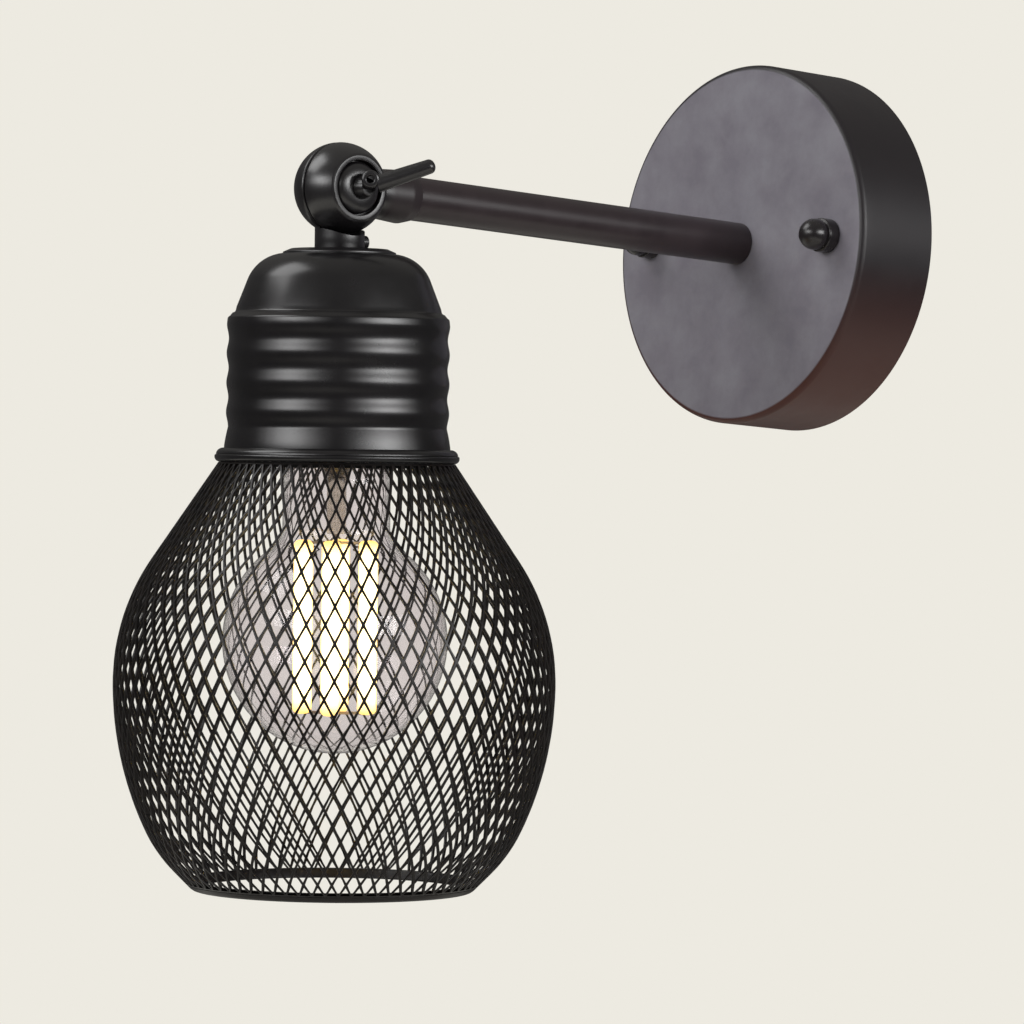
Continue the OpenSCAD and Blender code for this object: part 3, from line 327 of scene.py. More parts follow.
LACQUER = sprayed_lacquer_group()
PLAIN = plain_finish_group()
# The canopy's rim is painted with shade, nearly black, beyond the face's edge radius, and with a reddish
# bounce of light towards its foot.
FACE_END_R, RIM_START_R, PAINTED_BOUNCE_START, PAINTED_BOUNCE_FULL = 49.3, 49.8, -5.0, -45.0
RIM_PAINTED_SHADE, RIM_PAINTED_BOUNCE = (0.012, 0.009, 0.011, 1), (0.070, 0.018, 0.012, 1)


def canopy_material():
    """Pewter lacquer on the canopy's face, its pale tone partly painted sheen; painted shade, nearly black,
    on its rim, and a painted reddish bounce of light towards the rim's foot.
    """
    material = finish(
        "canopy_lacquer_and_painted_light", LACQUER,
        # The face's pale pewter is partly the lacquer's colour and partly painted sheen that stands in for
        # its bright reflection.
        {"Colour": (0.205, 0.190, 0.222), "Cloud Colour": (0.262, 0.252, 0.284), "Cloud Scale": 95.0,
         "Grain Scale": 1500.0, "Speck Scale": 350.0, "Roughness": 0.40, "Roughness Spread": 0.06},
        bump=0.2, Specular_IOR_Level=0.45)
    tree = material.node_tree
    shader, pattern = found(tree, "BSDF_PRINCIPLED"), found(tree, "GROUP")
    place = object_place(tree)
    # Painted reddish bounce light: its share grows down the rim towards the rim's foot, where it tints the
    # rim's painted shade.
    low = spread(tree, part_of(tree, place, "Z"), PAINTED_BOUNCE_START * MM, PAINTED_BOUNCE_FULL * MM)
    edge = mixed(tree, low, RIM_PAINTED_SHADE, RIM_PAINTED_BOUNCE)
    # Painted shade: none on the face, full on the rim, which turns nearly black apart from its painted
    # bounce.
    rim = spread(tree, reach_of(tree, place, (1.0, 0.0, 1.0)), FACE_END_R * MM, RIM_START_R * MM)
    colour = mixed(tree, rim, pattern.outputs["Colour"], edge)
    tree.links.new(colour, shader.inputs["Base Color"])
    return material


CANOPY_LACQUER_AND_PAINTED_LIGHT = canopy_material()
SMOKED = {
    "Colour": (0.007, 0.006, 0.007), "Cloud Colour": (0.011, 0.010, 0.011), "Cloud Scale": 70.0,
    "Grain Scale": 2200.0, "Speck Scale": 260.0, "Roughness": 0.28, "Roughness Spread": 0.05}
SMOKED_SHINE = 0.8
SMOKED_LACQUER = finish("smoked_lacquer", LACQUER, SMOKED, Specular_IOR_Level=SMOKED_SHINE)
CAP_LACQUER = finish(
    "cap_lacquer", LACQUER,
    {"Colour": (0.006, 0.0055, 0.006), "Cloud Colour": (0.010, 0.009, 0.010), "Cloud Scale": 60.0,
     "Grain Scale": 2200.0, "Speck Scale": 240.0, "Roughness": 0.24, "Roughness Spread": 0.04},
    bump=0.08, Specular_IOR_Level=0.55)
NUT_LACQUER = finish(
    "nut_lacquer", LACQUER,
    {"Colour": (0.010, 0.008, 0.009), "Cloud Colour": (0.016, 0.013, 0.014), "Cloud Scale": 90.0,
     "Grain Scale": 2400.0, "Speck Scale": 300.0, "Roughness": 0.24, "Roughness Spread": 0.06},
    bump=0.08, Specular_IOR_Level=0.55)
ARM_LACQUER = finish(
    "arm_lacquer", LACQUER,
    {"Colour": (0.022, 0.014, 0.016), "Cloud Colour": (0.032, 0.021, 0.024), "Cloud Scale": 80.0,
     "Grain Scale": 2000.0, "Speck Scale": 300.0, "Roughness": 0.34, "Roughness Spread": 0.08},
    bump=0.15, Specular_IOR_Level=0.5)


FADE_START, FADE_END = 10.5, 13.5
SOCKET_BROWN, SOCKET_ROUGHNESS, SOCKET_SHINE = (0.022, 0.015, 0.017, 1), 0.42, 0.45


def joint_material():
    """Smoked lacquer on the ball that turns into the arm's browner and duller one along the socket."""
    material = finish("joint_lacquer", LACQUER, SMOKED, Specular_IOR_Level=SMOKED_SHINE)
    tree = material.node_tree
    shader, pattern = found(tree, "BSDF_PRINCIPLED"), found(tree, "GROUP")
    wallward = part_of(tree, object_place(tree), "Y")
    fade = ((PIVOT[Y] + FADE_START) * MM, (PIVOT[Y] + FADE_END) * MM)
    colour = mixed(tree, spread(tree, wallward, *fade), pattern.outputs["Colour"], SOCKET_BROWN)
    roughness = spread(tree, wallward, *fade, SMOKED["Roughness"], SOCKET_ROUGHNESS)
    shine = spread(tree, wallward, *fade, SMOKED_SHINE, SOCKET_SHINE)
    tree.links.new(colour, shader.inputs["Base Color"])
    tree.links.new(roughness, shader.inputs["Roughness"])
    tree.links.new(shine, shader.inputs["Specular IOR Level"])
    return material


JOINT_LACQUER = joint_material()
MESH_LACQUER = finish(
    "mesh_lacquer", LACQUER,
    {"Colour": (0.004, 0.003, 0.003), "Cloud Colour": (0.009, 0.006, 0.005), "Cloud Scale": 120.0,
     "Grain Scale": 2500.0, "Speck Scale": 500.0, "Roughness": 0.34, "Roughness Spread": 0.12},
    bump=0.1, Specular_IOR_Level=0.35)
ZINC = finish(
    "zinc_plate", PLAIN,
    {"Colour": (0.58, 0.59, 0.60), "Dark Colour": (0.42, 0.43, 0.44), "Patch Scale": 140.0,
     "Grain Scale": 1800.0, "Grain Stretch": 0.2, "Roughness": 0.30, "Roughness Spread": 0.15},
    bump=0.1, Metallic=1.0)
BRASS = finish(
    "turned_brass", PLAIN,
    {"Colour": (0.72, 0.53, 0.24), "Dark Colour": (0.55, 0.38, 0.16), "Patch Scale": 120.0,
     "Grain Scale": 900.0, "Grain Stretch": 8.0, "Roughness": 0.22, "Roughness Spread": 0.15},
    bump=0.1, Metallic=1.0)
BLACK_MOULDING = finish(
    "black_moulding", PLAIN,
    {"Colour": (0.020, 0.020, 0.020), "Dark Colour": (0.014, 0.014, 0.014), "Roughness": 0.42},
    bump=0.15)
WHITE_MOULDING = finish(
    "white_moulding", PLAIN,
    {"Colour": (0.74, 0.73, 0.69), "Dark Colour": (0.68, 0.67, 0.62), "Roughness": 0.45},
    bump=0.1)
PORCELAIN = finish(
    "glazed_porcelain", PLAIN,
    {"Colour": (0.80, 0.78, 0.72), "Dark Colour": (0.74, 0.72, 0.66), "Roughness": 0.10,
     "Roughness Spread": 0.08},
    bump=0.03, Coat_Weight=0.5)
BROWN_INSULATION = finish(
    "brown_insulation", PLAIN,
    {"Colour": (0.12, 0.05, 0.025), "Dark Colour": (0.09, 0.038, 0.02), "Roughness": 0.38},
    bump=0.05)
GREEN_INSULATION = finish(
    "green_insulation", PLAIN,
    {"Colour": (0.55, 0.50, 0.04), "Dark Colour": (0.05, 0.28, 0.06), "Patch Scale": 180.0,
     "Roughness": 0.38},
    bump=0.05)
FIBRE = finish(
    "pressed_fibre", PLAIN,
    {"Colour": (0.50, 0.42, 0.30), "Dark Colour": (0.40, 0.33, 0.23), "Roughness": 0.75},
    bump=0.3)
LAMP_METAL = finish(
    "lamp_metal", PLAIN,
    {"Colour": (0.72, 0.71, 0.68), "Dark Colour": (0.60, 0.59, 0.56), "Roughness": 0.20},
    bump=0.05, Metallic=1.0)
BLACK_GLASS = finish(
    "black_glass", PLAIN,
    {"Colour": (0.012, 0.012, 0.014), "Dark Colour": (0.008, 0.008, 0.010), "Roughness": 0.06},
    bump=0.02)
BOARD = finish(
    "driver_board", PLAIN,
    {"Colour": (0.05, 0.22, 0.08), "Dark Colour": (0.03, 0.14, 0.05), "Patch Scale": 700.0, "Roughness": 0.4},
    bump=0.2)
CLEAR_GLASS = finish(
    "clear_glass", PLAIN,
    {"Colour": (0.89, 0.86, 0.88), "Dark Colour": (0.86, 0.83, 0.85), "Patch Scale": 40.0,
     "Roughness": 0.0, "Roughness Spread": 0.0},
    bump=0.0, Transmission_Weight=1.0, IOR=1.33, Specular_IOR_Level=0.25)
STEM_GLASS = finish(
    "stem_glass", PLAIN,
    {"Colour": (0.90, 0.84, 0.74), "Dark Colour": (0.80, 0.72, 0.60), "Patch Scale": 90.0,
     "Roughness": 0.04, "Roughness Spread": 0.05},
    bump=0.05, Transmission_Weight=0.9, IOR=1.5)
SUPPORT_WIRE = finish(
    "support_wire", PLAIN,
    {"Colour": (0.50, 0.44, 0.36), "Dark Colour": (0.38, 0.30, 0.22), "Roughness": 0.3},
    bump=0.05, Metallic=1.0)


AMBER, PALE_AMBER = (1.0, 0.64, 0.14, 1), (1.0, 0.86, 0.44, 1)
OUTLINE_GLOW, CORE_GLOW, END_LENGTH = 1.5, 3.8, 0.10


def glow_material():
    """Glowing coating: nearly white where it faces the eye, amber at its outline and the rod's ends."""
    material = finish(
        "warm_glow", PLAIN,
        {"Colour": (1.0, 0.78, 0.36), "Dark Colour": (1.0, 0.70, 0.28), "Roughness": 0.5}, bump=0.1)
    tree = material.node_tree
    shader = found(tree, "BSDF_PRINCIPLED")
    along = add(tree, "ShaderNodeAttribute", attribute_name="along").outputs["Fac"]
    facing = add(tree, "ShaderNodeLayerWeight", [("Blend", 0.5)]).outputs["Facing"]
    core = reckoned(tree, "MULTIPLY", spread(tree, along, 0.0, END_LENGTH), spread(tree, facing, 0.95, 0.35))
    strength = spread(tree, core, 0.0, 1.0, OUTLINE_GLOW, CORE_GLOW)
    tree.links.new(mixed(tree, core, AMBER, PALE_AMBER), shader.inputs["Emission Color"])
    tree.links.new(strength, shader.inputs["Emission Strength"])
    return material


GLOW = glow_material()

NODE_FINISHES = {
    "canopy": CANOPY_LACQUER_AND_PAINTED_LIGHT, "wall_bracket": ZINC, "fixing_studs": ZINC, "cap_nuts": NUT_LACQUER,
    "earth_screw": BRASS, "terminal_block": WHITE_MOULDING, "terminal_screws": ZINC,
    "earth_wire": GREEN_INSULATION, "arm_wires": BROWN_INSULATION, "arm_nipple": BRASS,
    "lock_washer": ZINC, "lock_nut": ZINC, "arm_tube": ARM_LACQUER, "arm_knuckle": JOINT_LACQUER,
    "stop_pin": ZINC, "head_knuckle": SMOKED_LACQUER, "friction_washer": FIBRE,
    "domed_washer": SMOKED_LACQUER, "clamp_lever": SMOKED_LACQUER, "grub_screw": SMOKED_LACQUER,
    "neck_nipple": BRASS, "cap_plate": SMOKED_LACQUER, "lamp_cap": CAP_LACQUER, "tooth_washer": ZINC,
    "holder_dome": BLACK_MOULDING, "holder_body": BLACK_MOULDING, "holder_core": PORCELAIN,
    "centre_contact": BRASS, "socket_shell": BRASS, "holder_terminals": BRASS,
    "head_wires": BROWN_INSULATION, "shade_rings": BLACK_MOULDING, "cage_collar": CAP_LACQUER,
    "cage_mesh": MESH_LACQUER, "cage_hem": MESH_LACQUER, "bulb_contact": LAMP_METAL,
    "bulb_insulator": BLACK_GLASS, "bulb_shell": LAMP_METAL, "bulb_driver": BOARD,
    "bulb_glass": CLEAR_GLASS, "bulb_stem": STEM_GLASS, "bulb_supports": SUPPORT_WIRE, "bulb_rods": GLOW,
}
for node_name, node_finish in NODE_FINISHES.items():
    NODES[node_name].data.materials.clear()
    NODES[node_name].data.materials.append(node_finish)

# ------------------------------------------------------------------ the cap and its collar

PLATE_R = edge_of("cap_plate", HIGHEST, X)
PLATE_TOP, PLATE_SLOPE, NIPPLE_ROOM_R = 16.0, 2.1, 5.1
CAP_TOP, CAP_RIM, CAP_WALL = 17.25, 70.65, 1.0
DOME_FLAT, DOME_ROUND, DOME_TILT, DOME_FOOT_R, DOME_FOOT = 14.0, 11.0, 22.0, 27.6, 32.85
SIDE_R, SIDE_TOP, RIB_H, RIB_PITCH, RIB_COUNT, FIRST_RIB = 29.3, 34.85, 0.28, 7.8, 4, 36.10
RIM_OUT, RIM_H, BEND_R = 2.0, 1.7, 0.9
SKIRT_R = edge_of("lamp_cap", HIGHEST, X) - RIM_OUT


def cap_line():
    """The cap's outside: flat top, a quarter round, a cone, a hollow flare, ribs as a cosine, a skirt."""
    ribs_end = FIRST_RIB + (RIB_COUNT - 0.5) * RIB_PITCH
    depth = np.linspace(SIDE_TOP, ribs_end, 14 * RIB_COUNT + 6)
    ribs = SIDE_R + RIB_H * np.cos(2 * math.pi * (depth - FIRST_RIB) / RIB_PITCH)
    dome = arc((DOME_FLAT, CAP_TOP + DOME_ROUND), DOME_ROUND, -90, -DOME_TILT, 22)
    cone_foot = np.array([[DOME_FOOT_R - 0.5, DOME_FOOT - 1.2]])
    flare = arc((DOME_FOOT_R + 0.55, DOME_FOOT - 0.55), BEND_R, 160, 92, 4)
    shoulder = arc((SIDE_R - 0.75, SIDE_TOP + 0.1), BEND_R, -70, -12, 5)
    turn = np.linspace(0, math.pi / 2, 14)[1:]
    valley = SIDE_R - RIB_H
    skirt_depth = ribs_end + (CAP_RIM - ribs_end) * turn / turn[-1]
    skirt = np.stack([valley + (SKIRT_R - valley) * np.sin(turn), skirt_depth], -1)
    ribs = np.column_stack([ribs, depth])[3:]
    return np.concatenate([[[NIPPLE_ROOM_R, CAP_TOP]], dome, cone_foot, flare, shoulder, ribs, skirt])


def build_cap():
    """The spun cap as one sheet, its rim folded outwards as a quarter of an ellipse, and the plate on it."""
    turn = np.radians(np.linspace(4, 86, 12))
    fold = np.stack([SKIRT_R + RIM_OUT * np.sin(turn), CAP_RIM - RIM_H * np.cos(turn)], -1)
    edge = [(SKIRT_R + RIM_OUT, CAP_RIM - 0.1), (SKIRT_R + RIM_OUT - 0.12, CAP_RIM - 0.02),
            (SKIRT_R - CAP_WALL / 2, CAP_RIM - 0.02), (SKIRT_R - CAP_WALL / 2, CAP_RIM - RIM_H)]
    sheet = walled(cap_line(), CAP_WALL)
    sheet[:, 1] = np.minimum(sheet[:, 1], CAP_RIM)
    make_piece(
        "ribbed_cap", "head", "smoked_metal", ["lamp_cap"],
        turned(sheet, in_head, 192), turned(np.concatenate([fold, edge]), in_head, 192),
        material=CAP_LACQUER, smooth=50)
    plate_line = rounded([
        (NIPPLE_ROOM_R, PLATE_TOP, 0), (PLATE_R - PLATE_SLOPE, PLATE_TOP, 0.5),
        (PLATE_R, CAP_TOP - 0.35, 0.2), (PLATE_R, CAP_TOP, 0), (NIPPLE_ROOM_R, CAP_TOP, 0)])
    make_piece("plate_on_cap", "head", "smoked_metal", ["cap_plate"],
               turned(plate_line, in_head, 128), material=SMOKED_LACQUER)


COLLAR_R = edge_of("cage_collar", HIGHEST, X)
WEB_IN, WEB_TOP, WEB_BOTTOM, COLLAR_BOTTOM, CAGE_TOP_R = 20.1, 70.65, 71.45, 72.65, 31.4


def build_collar():
    """The rolled ring at the top of the cage, with the flat web that the lampholder clamps."""
    upper, lower = 0.5, 1.3
    line = np.concatenate([
        [[WEB_IN, WEB_TOP]], arc((COLLAR_R - upper, WEB_TOP + upper), upper, -90, 0, 8),
        arc((COLLAR_R - lower, COLLAR_BOTTOM - lower), lower, 0, 90, 12),
        [[CAGE_TOP_R - 1.2, COLLAR_BOTTOM], [CAGE_TOP_R - 1.2, WEB_BOTTOM], [WEB_IN, WEB_BOTTOM]]])
    make_piece("cage_ring", "head", "smoked_metal", ["cage_collar"],
               turned(line, in_head, 192), material=CAP_LACQUER)


# ------------------------------------------------------------------ the cage

CAGE_R, CAGE_WIDEST, CAGE_TOP = 58.7, 131.0, 72.70
CONE, LOW_CURVE, TURN, HEM_CURVE, FOOT, FOOT_LEN = 34.0, 92.0, 25.0, 40.0, 45.0, 4.6
MESH_T, STRAND_W, MESH_COUNT, MESH_ROWS, MESH_BAND = 0.8, 0.65, 72, 26, 0.5
# a strand from its outer skin to its inner one, loop by loop: share of its width, and depth
LOOP_WIDTHS, LOOP_DEPTHS = (0.0, 0.72, 0.96, 0.96, 0.72, 0.0), (0.0, 0.0, 0.22, 0.58, MESH_T, MESH_T)
TIP_WIDTH, FLANK_WIDTH = 1.18, 0.92
LOOPS, LOOP_POINTS = len(LOOP_WIDTHS), 8


def cage_outline():
    """(radius, depth) of the cage's outside by distance along it: a cone, three arcs and a short cone."""
    cone, turn, foot = (math.radians(a) for a in (CONE, TURN, FOOT))
    up_curve = ((CAGE_WIDEST - CAGE_TOP) * math.tan(cone) - (CAGE_R - CAGE_TOP_R)) / (1 / math.cos(cone) - 1)
    cone_end = np.array([CAGE_R - up_curve * (1 - math.cos(cone)), CAGE_WIDEST - up_curve * math.sin(cone)])
    upper = arc((CAGE_R - up_curve, CAGE_WIDEST), up_curve, -CONE, 0, 80)
    lower = arc((CAGE_R - LOW_CURVE, CAGE_WIDEST), LOW_CURVE, 0, TURN, 60)
    low_centre = lower[-1] - HEM_CURVE * np.array([math.cos(turn), math.sin(turn)])
    tight = arc(low_centre, HEM_CURVE, TURN, FOOT, 24)
    end = tight[-1] + FOOT_LEN * np.array([-math.sin(foot), math.cos(foot)])
    cone_line = np.linspace((CAGE_TOP_R, CAGE_TOP), cone_end, 30)
    line = np.concatenate([cone_line[:-1], upper, lower[1:], tight[1:], [end]])
    along = np.concatenate([[0], np.cumsum(np.linalg.norm(np.diff(line, axis=0), axis=1))])
    return line, along


CAGE_LINE, CAGE_ALONG = cage_outline()
CAGE_LEN = CAGE_ALONG[-1]
HEM_WALL, HEM_H, HEM_UNDER, HEM_LAP = 1.6, 2.6, MESH_T + 0.28, 1.0
# unevenness of the mesh: height, waves round the cage, turn of the wave per millimetre down it
WOBBLES = ((0.22, 3, 0.05), (0.16, 7, -0.11))
WOBBLE_FADE, WOBBLE_TURN = 12, 0.004


def on_cage(angle, distance, under):
    """Points of the sheet: angle round it, distance along it from the collar, depth under its skin."""
    radius = np.interp(distance, CAGE_ALONG, CAGE_LINE[:, 0]) - under
    depth = np.interp(distance, CAGE_ALONG, CAGE_LINE[:, 1])
    return in_head(np.stack([radius * np.cos(angle), radius * np.sin(angle), depth + 0 * angle], -1))


def build_cage():
    """Expanded mesh. Each cell is a diamond with a diamond opening; its loops of points run from the
    outer skin, round the strands' rounded sides, to the inner skin. Cells share their borders."""
    step, row = 2 * math.pi / MESH_COUNT, CAGE_LEN / MESH_ROWS
    level, place = np.meshgrid(np.arange(MESH_ROWS + 1), np.arange(MESH_COUNT), indexing="ij")
    middle = ((place + (level % 2) / 2 + 0.5) * step).reshape(-1, 1, 1)
    centre = (level * row).reshape(-1, 1, 1).astype(float)
    corner = np.arange(LOOP_POINTS) * 2 * math.pi / LOOP_POINTS
    at_tip = np.arange(LOOP_POINTS) % 2 == 0
    sharpness = np.where(at_tip, 1.0, math.sqrt(0.5))
    aside, along = np.sin(corner) * sharpness, -np.cos(corner) * sharpness

    half_w = np.interp(centre, CAGE_ALONG, CAGE_LINE[:, 0]) * step / 2
    lost = STRAND_W / 2 * np.hypot(half_w, row) / (half_w * row)
    # a strand is widest at its crossings: its openings have blunt tips and full sides
    widths = np.array(LOOP_WIDTHS)[None, :, None]
    depths = np.array(LOOP_DEPTHS)[None, :, None]
    tip = np.where(at_tip, TIP_WIDTH, FLANK_WIDTH)[None, None, :]
    share = 1 - lost * widths * tip

    top, bottom = MESH_BAND * (widths > 0), CAGE_LEN - MESH_BAND * (widths > 0)
    distance = np.clip(centre + share * along * row, top, bottom)
    angle = middle + share * aside * step / 2 + 0 * distance
    wobble = sum(height * np.sin(waves * angle + lean * distance) for height, waves, lean in WOBBLES)
    fade = np.clip(np.minimum(distance, CAGE_LEN - distance) / WOBBLE_FADE, 0, 1)
    points = on_cage(angle + WOBBLE_TURN * wobble * fade, distance + wobble * fade, depths + 0 * distance)
    first_point = LOOPS * LOOP_POINTS * np.arange(len(points))[:, None, None]
    faces = (grid_faces(LOOPS, LOOP_POINTS, wrap_rows=False)[None] + first_point).reshape(-1, 4)
    rims = []
    for distance in (0.0, CAGE_LEN):
        angle = np.arange(4 * MESH_COUNT) * step / 4
        rim = np.stack([on_cage(angle, np.full_like(angle, distance), under) for under in (0.0, MESH_T)])
        rims.append((rim.reshape(-1, 3), grid_faces(2, len(angle), wrap_rows=False)))
    cage = make_piece("mesh_cage", "head", "dark_steel", ["cage_mesh"],
                      (points.reshape(-1, 3), faces), *rims, material=MESH_LACQUER, smooth=45)
    shape = bmesh.new()
    shape.from_mesh(cage.data)
    bmesh.ops.recalc_face_normals(shape, faces=shape.faces)
    shape.to_mesh(cage.data)
    shape.free()


def build_hem():
    """The band round the cage's open end: it slopes as the cage's foot does, and holds the mesh's edge."""
    end_r, end = CAGE_LINE[-1]
    slope = math.tan(math.radians(FOOT))
    top, bottom = end - HEM_LAP, end - HEM_LAP + HEM_H
    ledge, lip = end + 0.05, bottom - 0.5

    def skin(depth):
        return end_r + (end - depth) * slope

    line = rounded([
        (skin(top) - HEM_UNDER, top, 0.2), (skin(ledge) - HEM_UNDER, ledge, 0),
        (skin(ledge), ledge, 0.1), (skin(lip), lip, 0.3),
        (skin(lip) - 0.6, bottom - 0.1, 0.2), (skin(lip) - 0.9, bottom, 0.1),
        (skin(bottom) - HEM_WALL, bottom, 0.3), (skin(top) - HEM_UNDER - HEM_WALL, top, 0.3)], 4)
    make_piece("hem_ring", "head", "dark_steel", ["cage_hem"],
               turned(line, in_head, 192), material=MESH_LACQUER)


# ------------------------------------------------------------------ the ball joint

BALL_R, FACE = -edge_of("head_knuckle", LOWEST, X), edge_of("arm_knuckle", HIGHEST, X)
HOLLOW_R, HALF_GAP, BOSS_R, BOSS_FACE = 8.6, 0.25, 4.2, 5.2
RECESS_R, RECESS_FLOOR, SCREW_R, SCREW_BORE, SWING_R = 7.3, 6.5, 2.5, 2.6, 12.6
NECK_R, NECK_END, NIPPLE_R, ARM_BORE_R = 6.65, 16.0, 5.0, 5.95
SOCKET_R, SOCKET_LIP_R, SOCKET_START, SOCKET_SLOPE = 7.2, 6.25, 13.4, 19.7
SOCKET_END = round(edge_of("arm_knuckle", HIGHEST, Y) - PIVOT[Y], 2)


def ball_line(radius, first, last, steps):
    """(radius, x) points on a ball about the X axis, from x first to x last."""
    turn = np.linspace(math.asin(first / radius), math.asin(last / radius), steps + 1)
    return radius * np.stack([np.cos(turn), np.sin(turn)], -1)


def about_x(side):
    """Places a turned solid about the X axis of the ball, mirrored to the -X side if side is -1."""
    return lambda p: np.stack([side * p[..., 2], p[..., 0], p[..., 1]], -1)


def half_ball(outside, side, place):
    """Hollow half of the ball round its boss; outside runs from the parting edge to the screw's bore."""
    hollow = ball_line(HOLLOW_R, HALF_GAP, BOSS_FACE, 10)[::-1]
    start = [(SCREW_BORE, HALF_GAP), (BOSS_R, HALF_GAP), (BOSS_R, BOSS_FACE)]
    line = np.concatenate([start, hollow, outside])
    turn = about_x(side)
    return turned(line, lambda p: place(turn(p)), 160)


def parting_edge():
    """Small round where the ball's outside meets the parting face."""
    radius = 0.5
    return arc((BALL_R - radius - 0.03, HALF_GAP + radius), radius, -90, -3, 5)


def stub(outline, bore, bore_start, open_side, place, turn):
    """Round stub out of the ball, from an outline of (radius, distance) and the bore's radius and start.
    On the open side it begins at the cylinder of room that the other half sweeps: distance
    sqrt(SWING_R^2 - y^2), with y across the hinge. On its own side it begins inside the ball."""
    angle = np.linspace(0, 2 * math.pi, 160, endpoint=False)
    share = np.linspace(0, 1, 7)[1:]
    radius = np.concatenate([share * NECK_R, outline[:, 0], [bore, bore, 0]])[:, None]
    apart, across = radius * np.cos(angle) * open_side, radius * np.sin(angle)
    room = np.sqrt(SWING_R**2 - np.minimum(across, NECK_R) ** 2)
    buried = np.sqrt((BALL_R - 0.15) ** 2 - np.minimum(radius, NECK_R) ** 2) + 0 * angle
    start = np.where(apart > -HALF_GAP, room, buried)
    height = np.concatenate([0 * share, outline[:, 1], [outline[-1, 1], bore_start, bore_start]])
    height = height[:, None] + 0 * angle
    height[: len(share)] = start[: len(share)]
    radius = radius + 0 * angle
    points = np.stack([radius * np.cos(angle), radius * np.sin(angle), height], -1)
    middle = np.zeros((1, len(angle), 3))
    middle[..., 2] = SWING_R
    points = np.concatenate([middle, points])
    faces = grid_faces(len(points), len(angle), wrap_rows=False)
    return outward(place(turn(points)).reshape(-1, 3), faces)


def head_xyz(points):
    """Points (x, y, z) counted from the ball's centre in the head's own frame, as row-frame points."""
    return in_head(points * [1, 1, -1])


def build_ball_joint():
    """Both halves of the ball: the arm's with its socket, the head's with its neck."""
    face_edge = arc((RECESS_R + 1.1, FACE - 0.3), 0.3, 48, 90, 5)
    arm_side = np.concatenate([
        parting_edge(), ball_line(BALL_R, 0.8, FACE - 0.25, 24), face_edge,
        arc((RECESS_R + 0.2, FACE - 0.2), 0.2, 90, 180, 3),
        [(RECESS_R, RECESS_FLOOR), (SCREW_BORE, RECESS_FLOOR)]])
    socket = rounded([
        (NECK_R, SWING_R + 0.2, 0), (NECK_R + 0.1, SOCKET_START, 2), (SOCKET_R, SOCKET_SLOPE, 3),
        (SOCKET_LIP_R, SOCKET_END, 0.3), (ARM_BORE_R, SOCKET_END, 0)], 8)
    make_piece(
        "arm_ball_half", "wall_arm", "smoked_metal", ["arm_knuckle"],
        half_ball(arm_side, 1, at_pivot),
        stub(socket, ARM_BORE_R, SOCKET_START, -1, at_pivot,
             lambda p: np.stack([p[..., 0], p[..., 2], p[..., 1]], -1)),
        material=JOINT_LACQUER, smooth=42)
    head_side = np.concatenate([
        parting_edge(), ball_line(BALL_R, 0.8, BALL_R, 30), [(0, 9.0), (SCREW_BORE, 9.0)]])
    neck = np.array([(NECK_R, SWING_R + 0.2), (NECK_R, NECK_END - 0.2), (NECK_R - 0.06, NECK_END - 0.06),
                     (NECK_R - 0.2, NECK_END), (NIPPLE_R, NECK_END)])
    make_piece(
        "head_ball_half", "head", "smoked_metal", ["head_knuckle"],
        half_ball(head_side, -1, head_xyz),
        stub(neck, NIPPLE_R, SOCKET_START - 0.1, 1, head_xyz,
             lambda p: np.stack([p[..., 0], p[..., 1], -p[..., 2]], -1)),
        material=SMOKED_LACQUER, smooth=42)


WASHER_TOP = edge_of("domed_washer", HIGHEST, X)
WASHER_R, WASHER_FLAT_R, HUB_R, HUB_TOP_R, HUB_TOP = 6.95, 3.0, 3.2, 2.3, 12.5
EYE_X, EYE_RISE, EYE_R, EYE_HOLE_R, EYE_HALF_W = 13.1, 2.0, 2.4, 1.0, 2.5
LEVER_BEARING, LEVER_LIFT, LEVER_DROP, LEVER_LEN, ROOT_R, TIP_R = 50.6, 19.2, 1.7, 17.3, 2.35, 1.95
SHANK_END, HUB_FOOT, ROOT_START, TIP_DOME = -8.4, 9.55, 1.3, 0.8 * TIP_R


def build_washer():
    """Domed washer: a short edge, then a quarter of an ellipse up to the lever's hub."""
    foot, edge = RECESS_FLOOR + 0.05, 0.5
    turn = np.radians(np.linspace(0, 90, 16))
    dome = np.stack([WASHER_FLAT_R + (WASHER_R - WASHER_FLAT_R) * np.cos(turn),
                     foot + edge + (WASHER_TOP - foot - edge) * np.sin(turn)], -1)
    start = [(SCREW_BORE, foot), (WASHER_R - 0.15, foot), (WASHER_R, foot + 0.15)]
    line = np.concatenate([start, dome, [(SCREW_BORE, WASHER_TOP)]])
    turn_to_x = about_x(1)
    make_piece("domed_washer_skin", "washer", "smoked_metal", ["domed_washer"],
               turned(line, lambda p: head_xyz(turn_to_x(p)), 96), material=SMOKED_LACQUER)


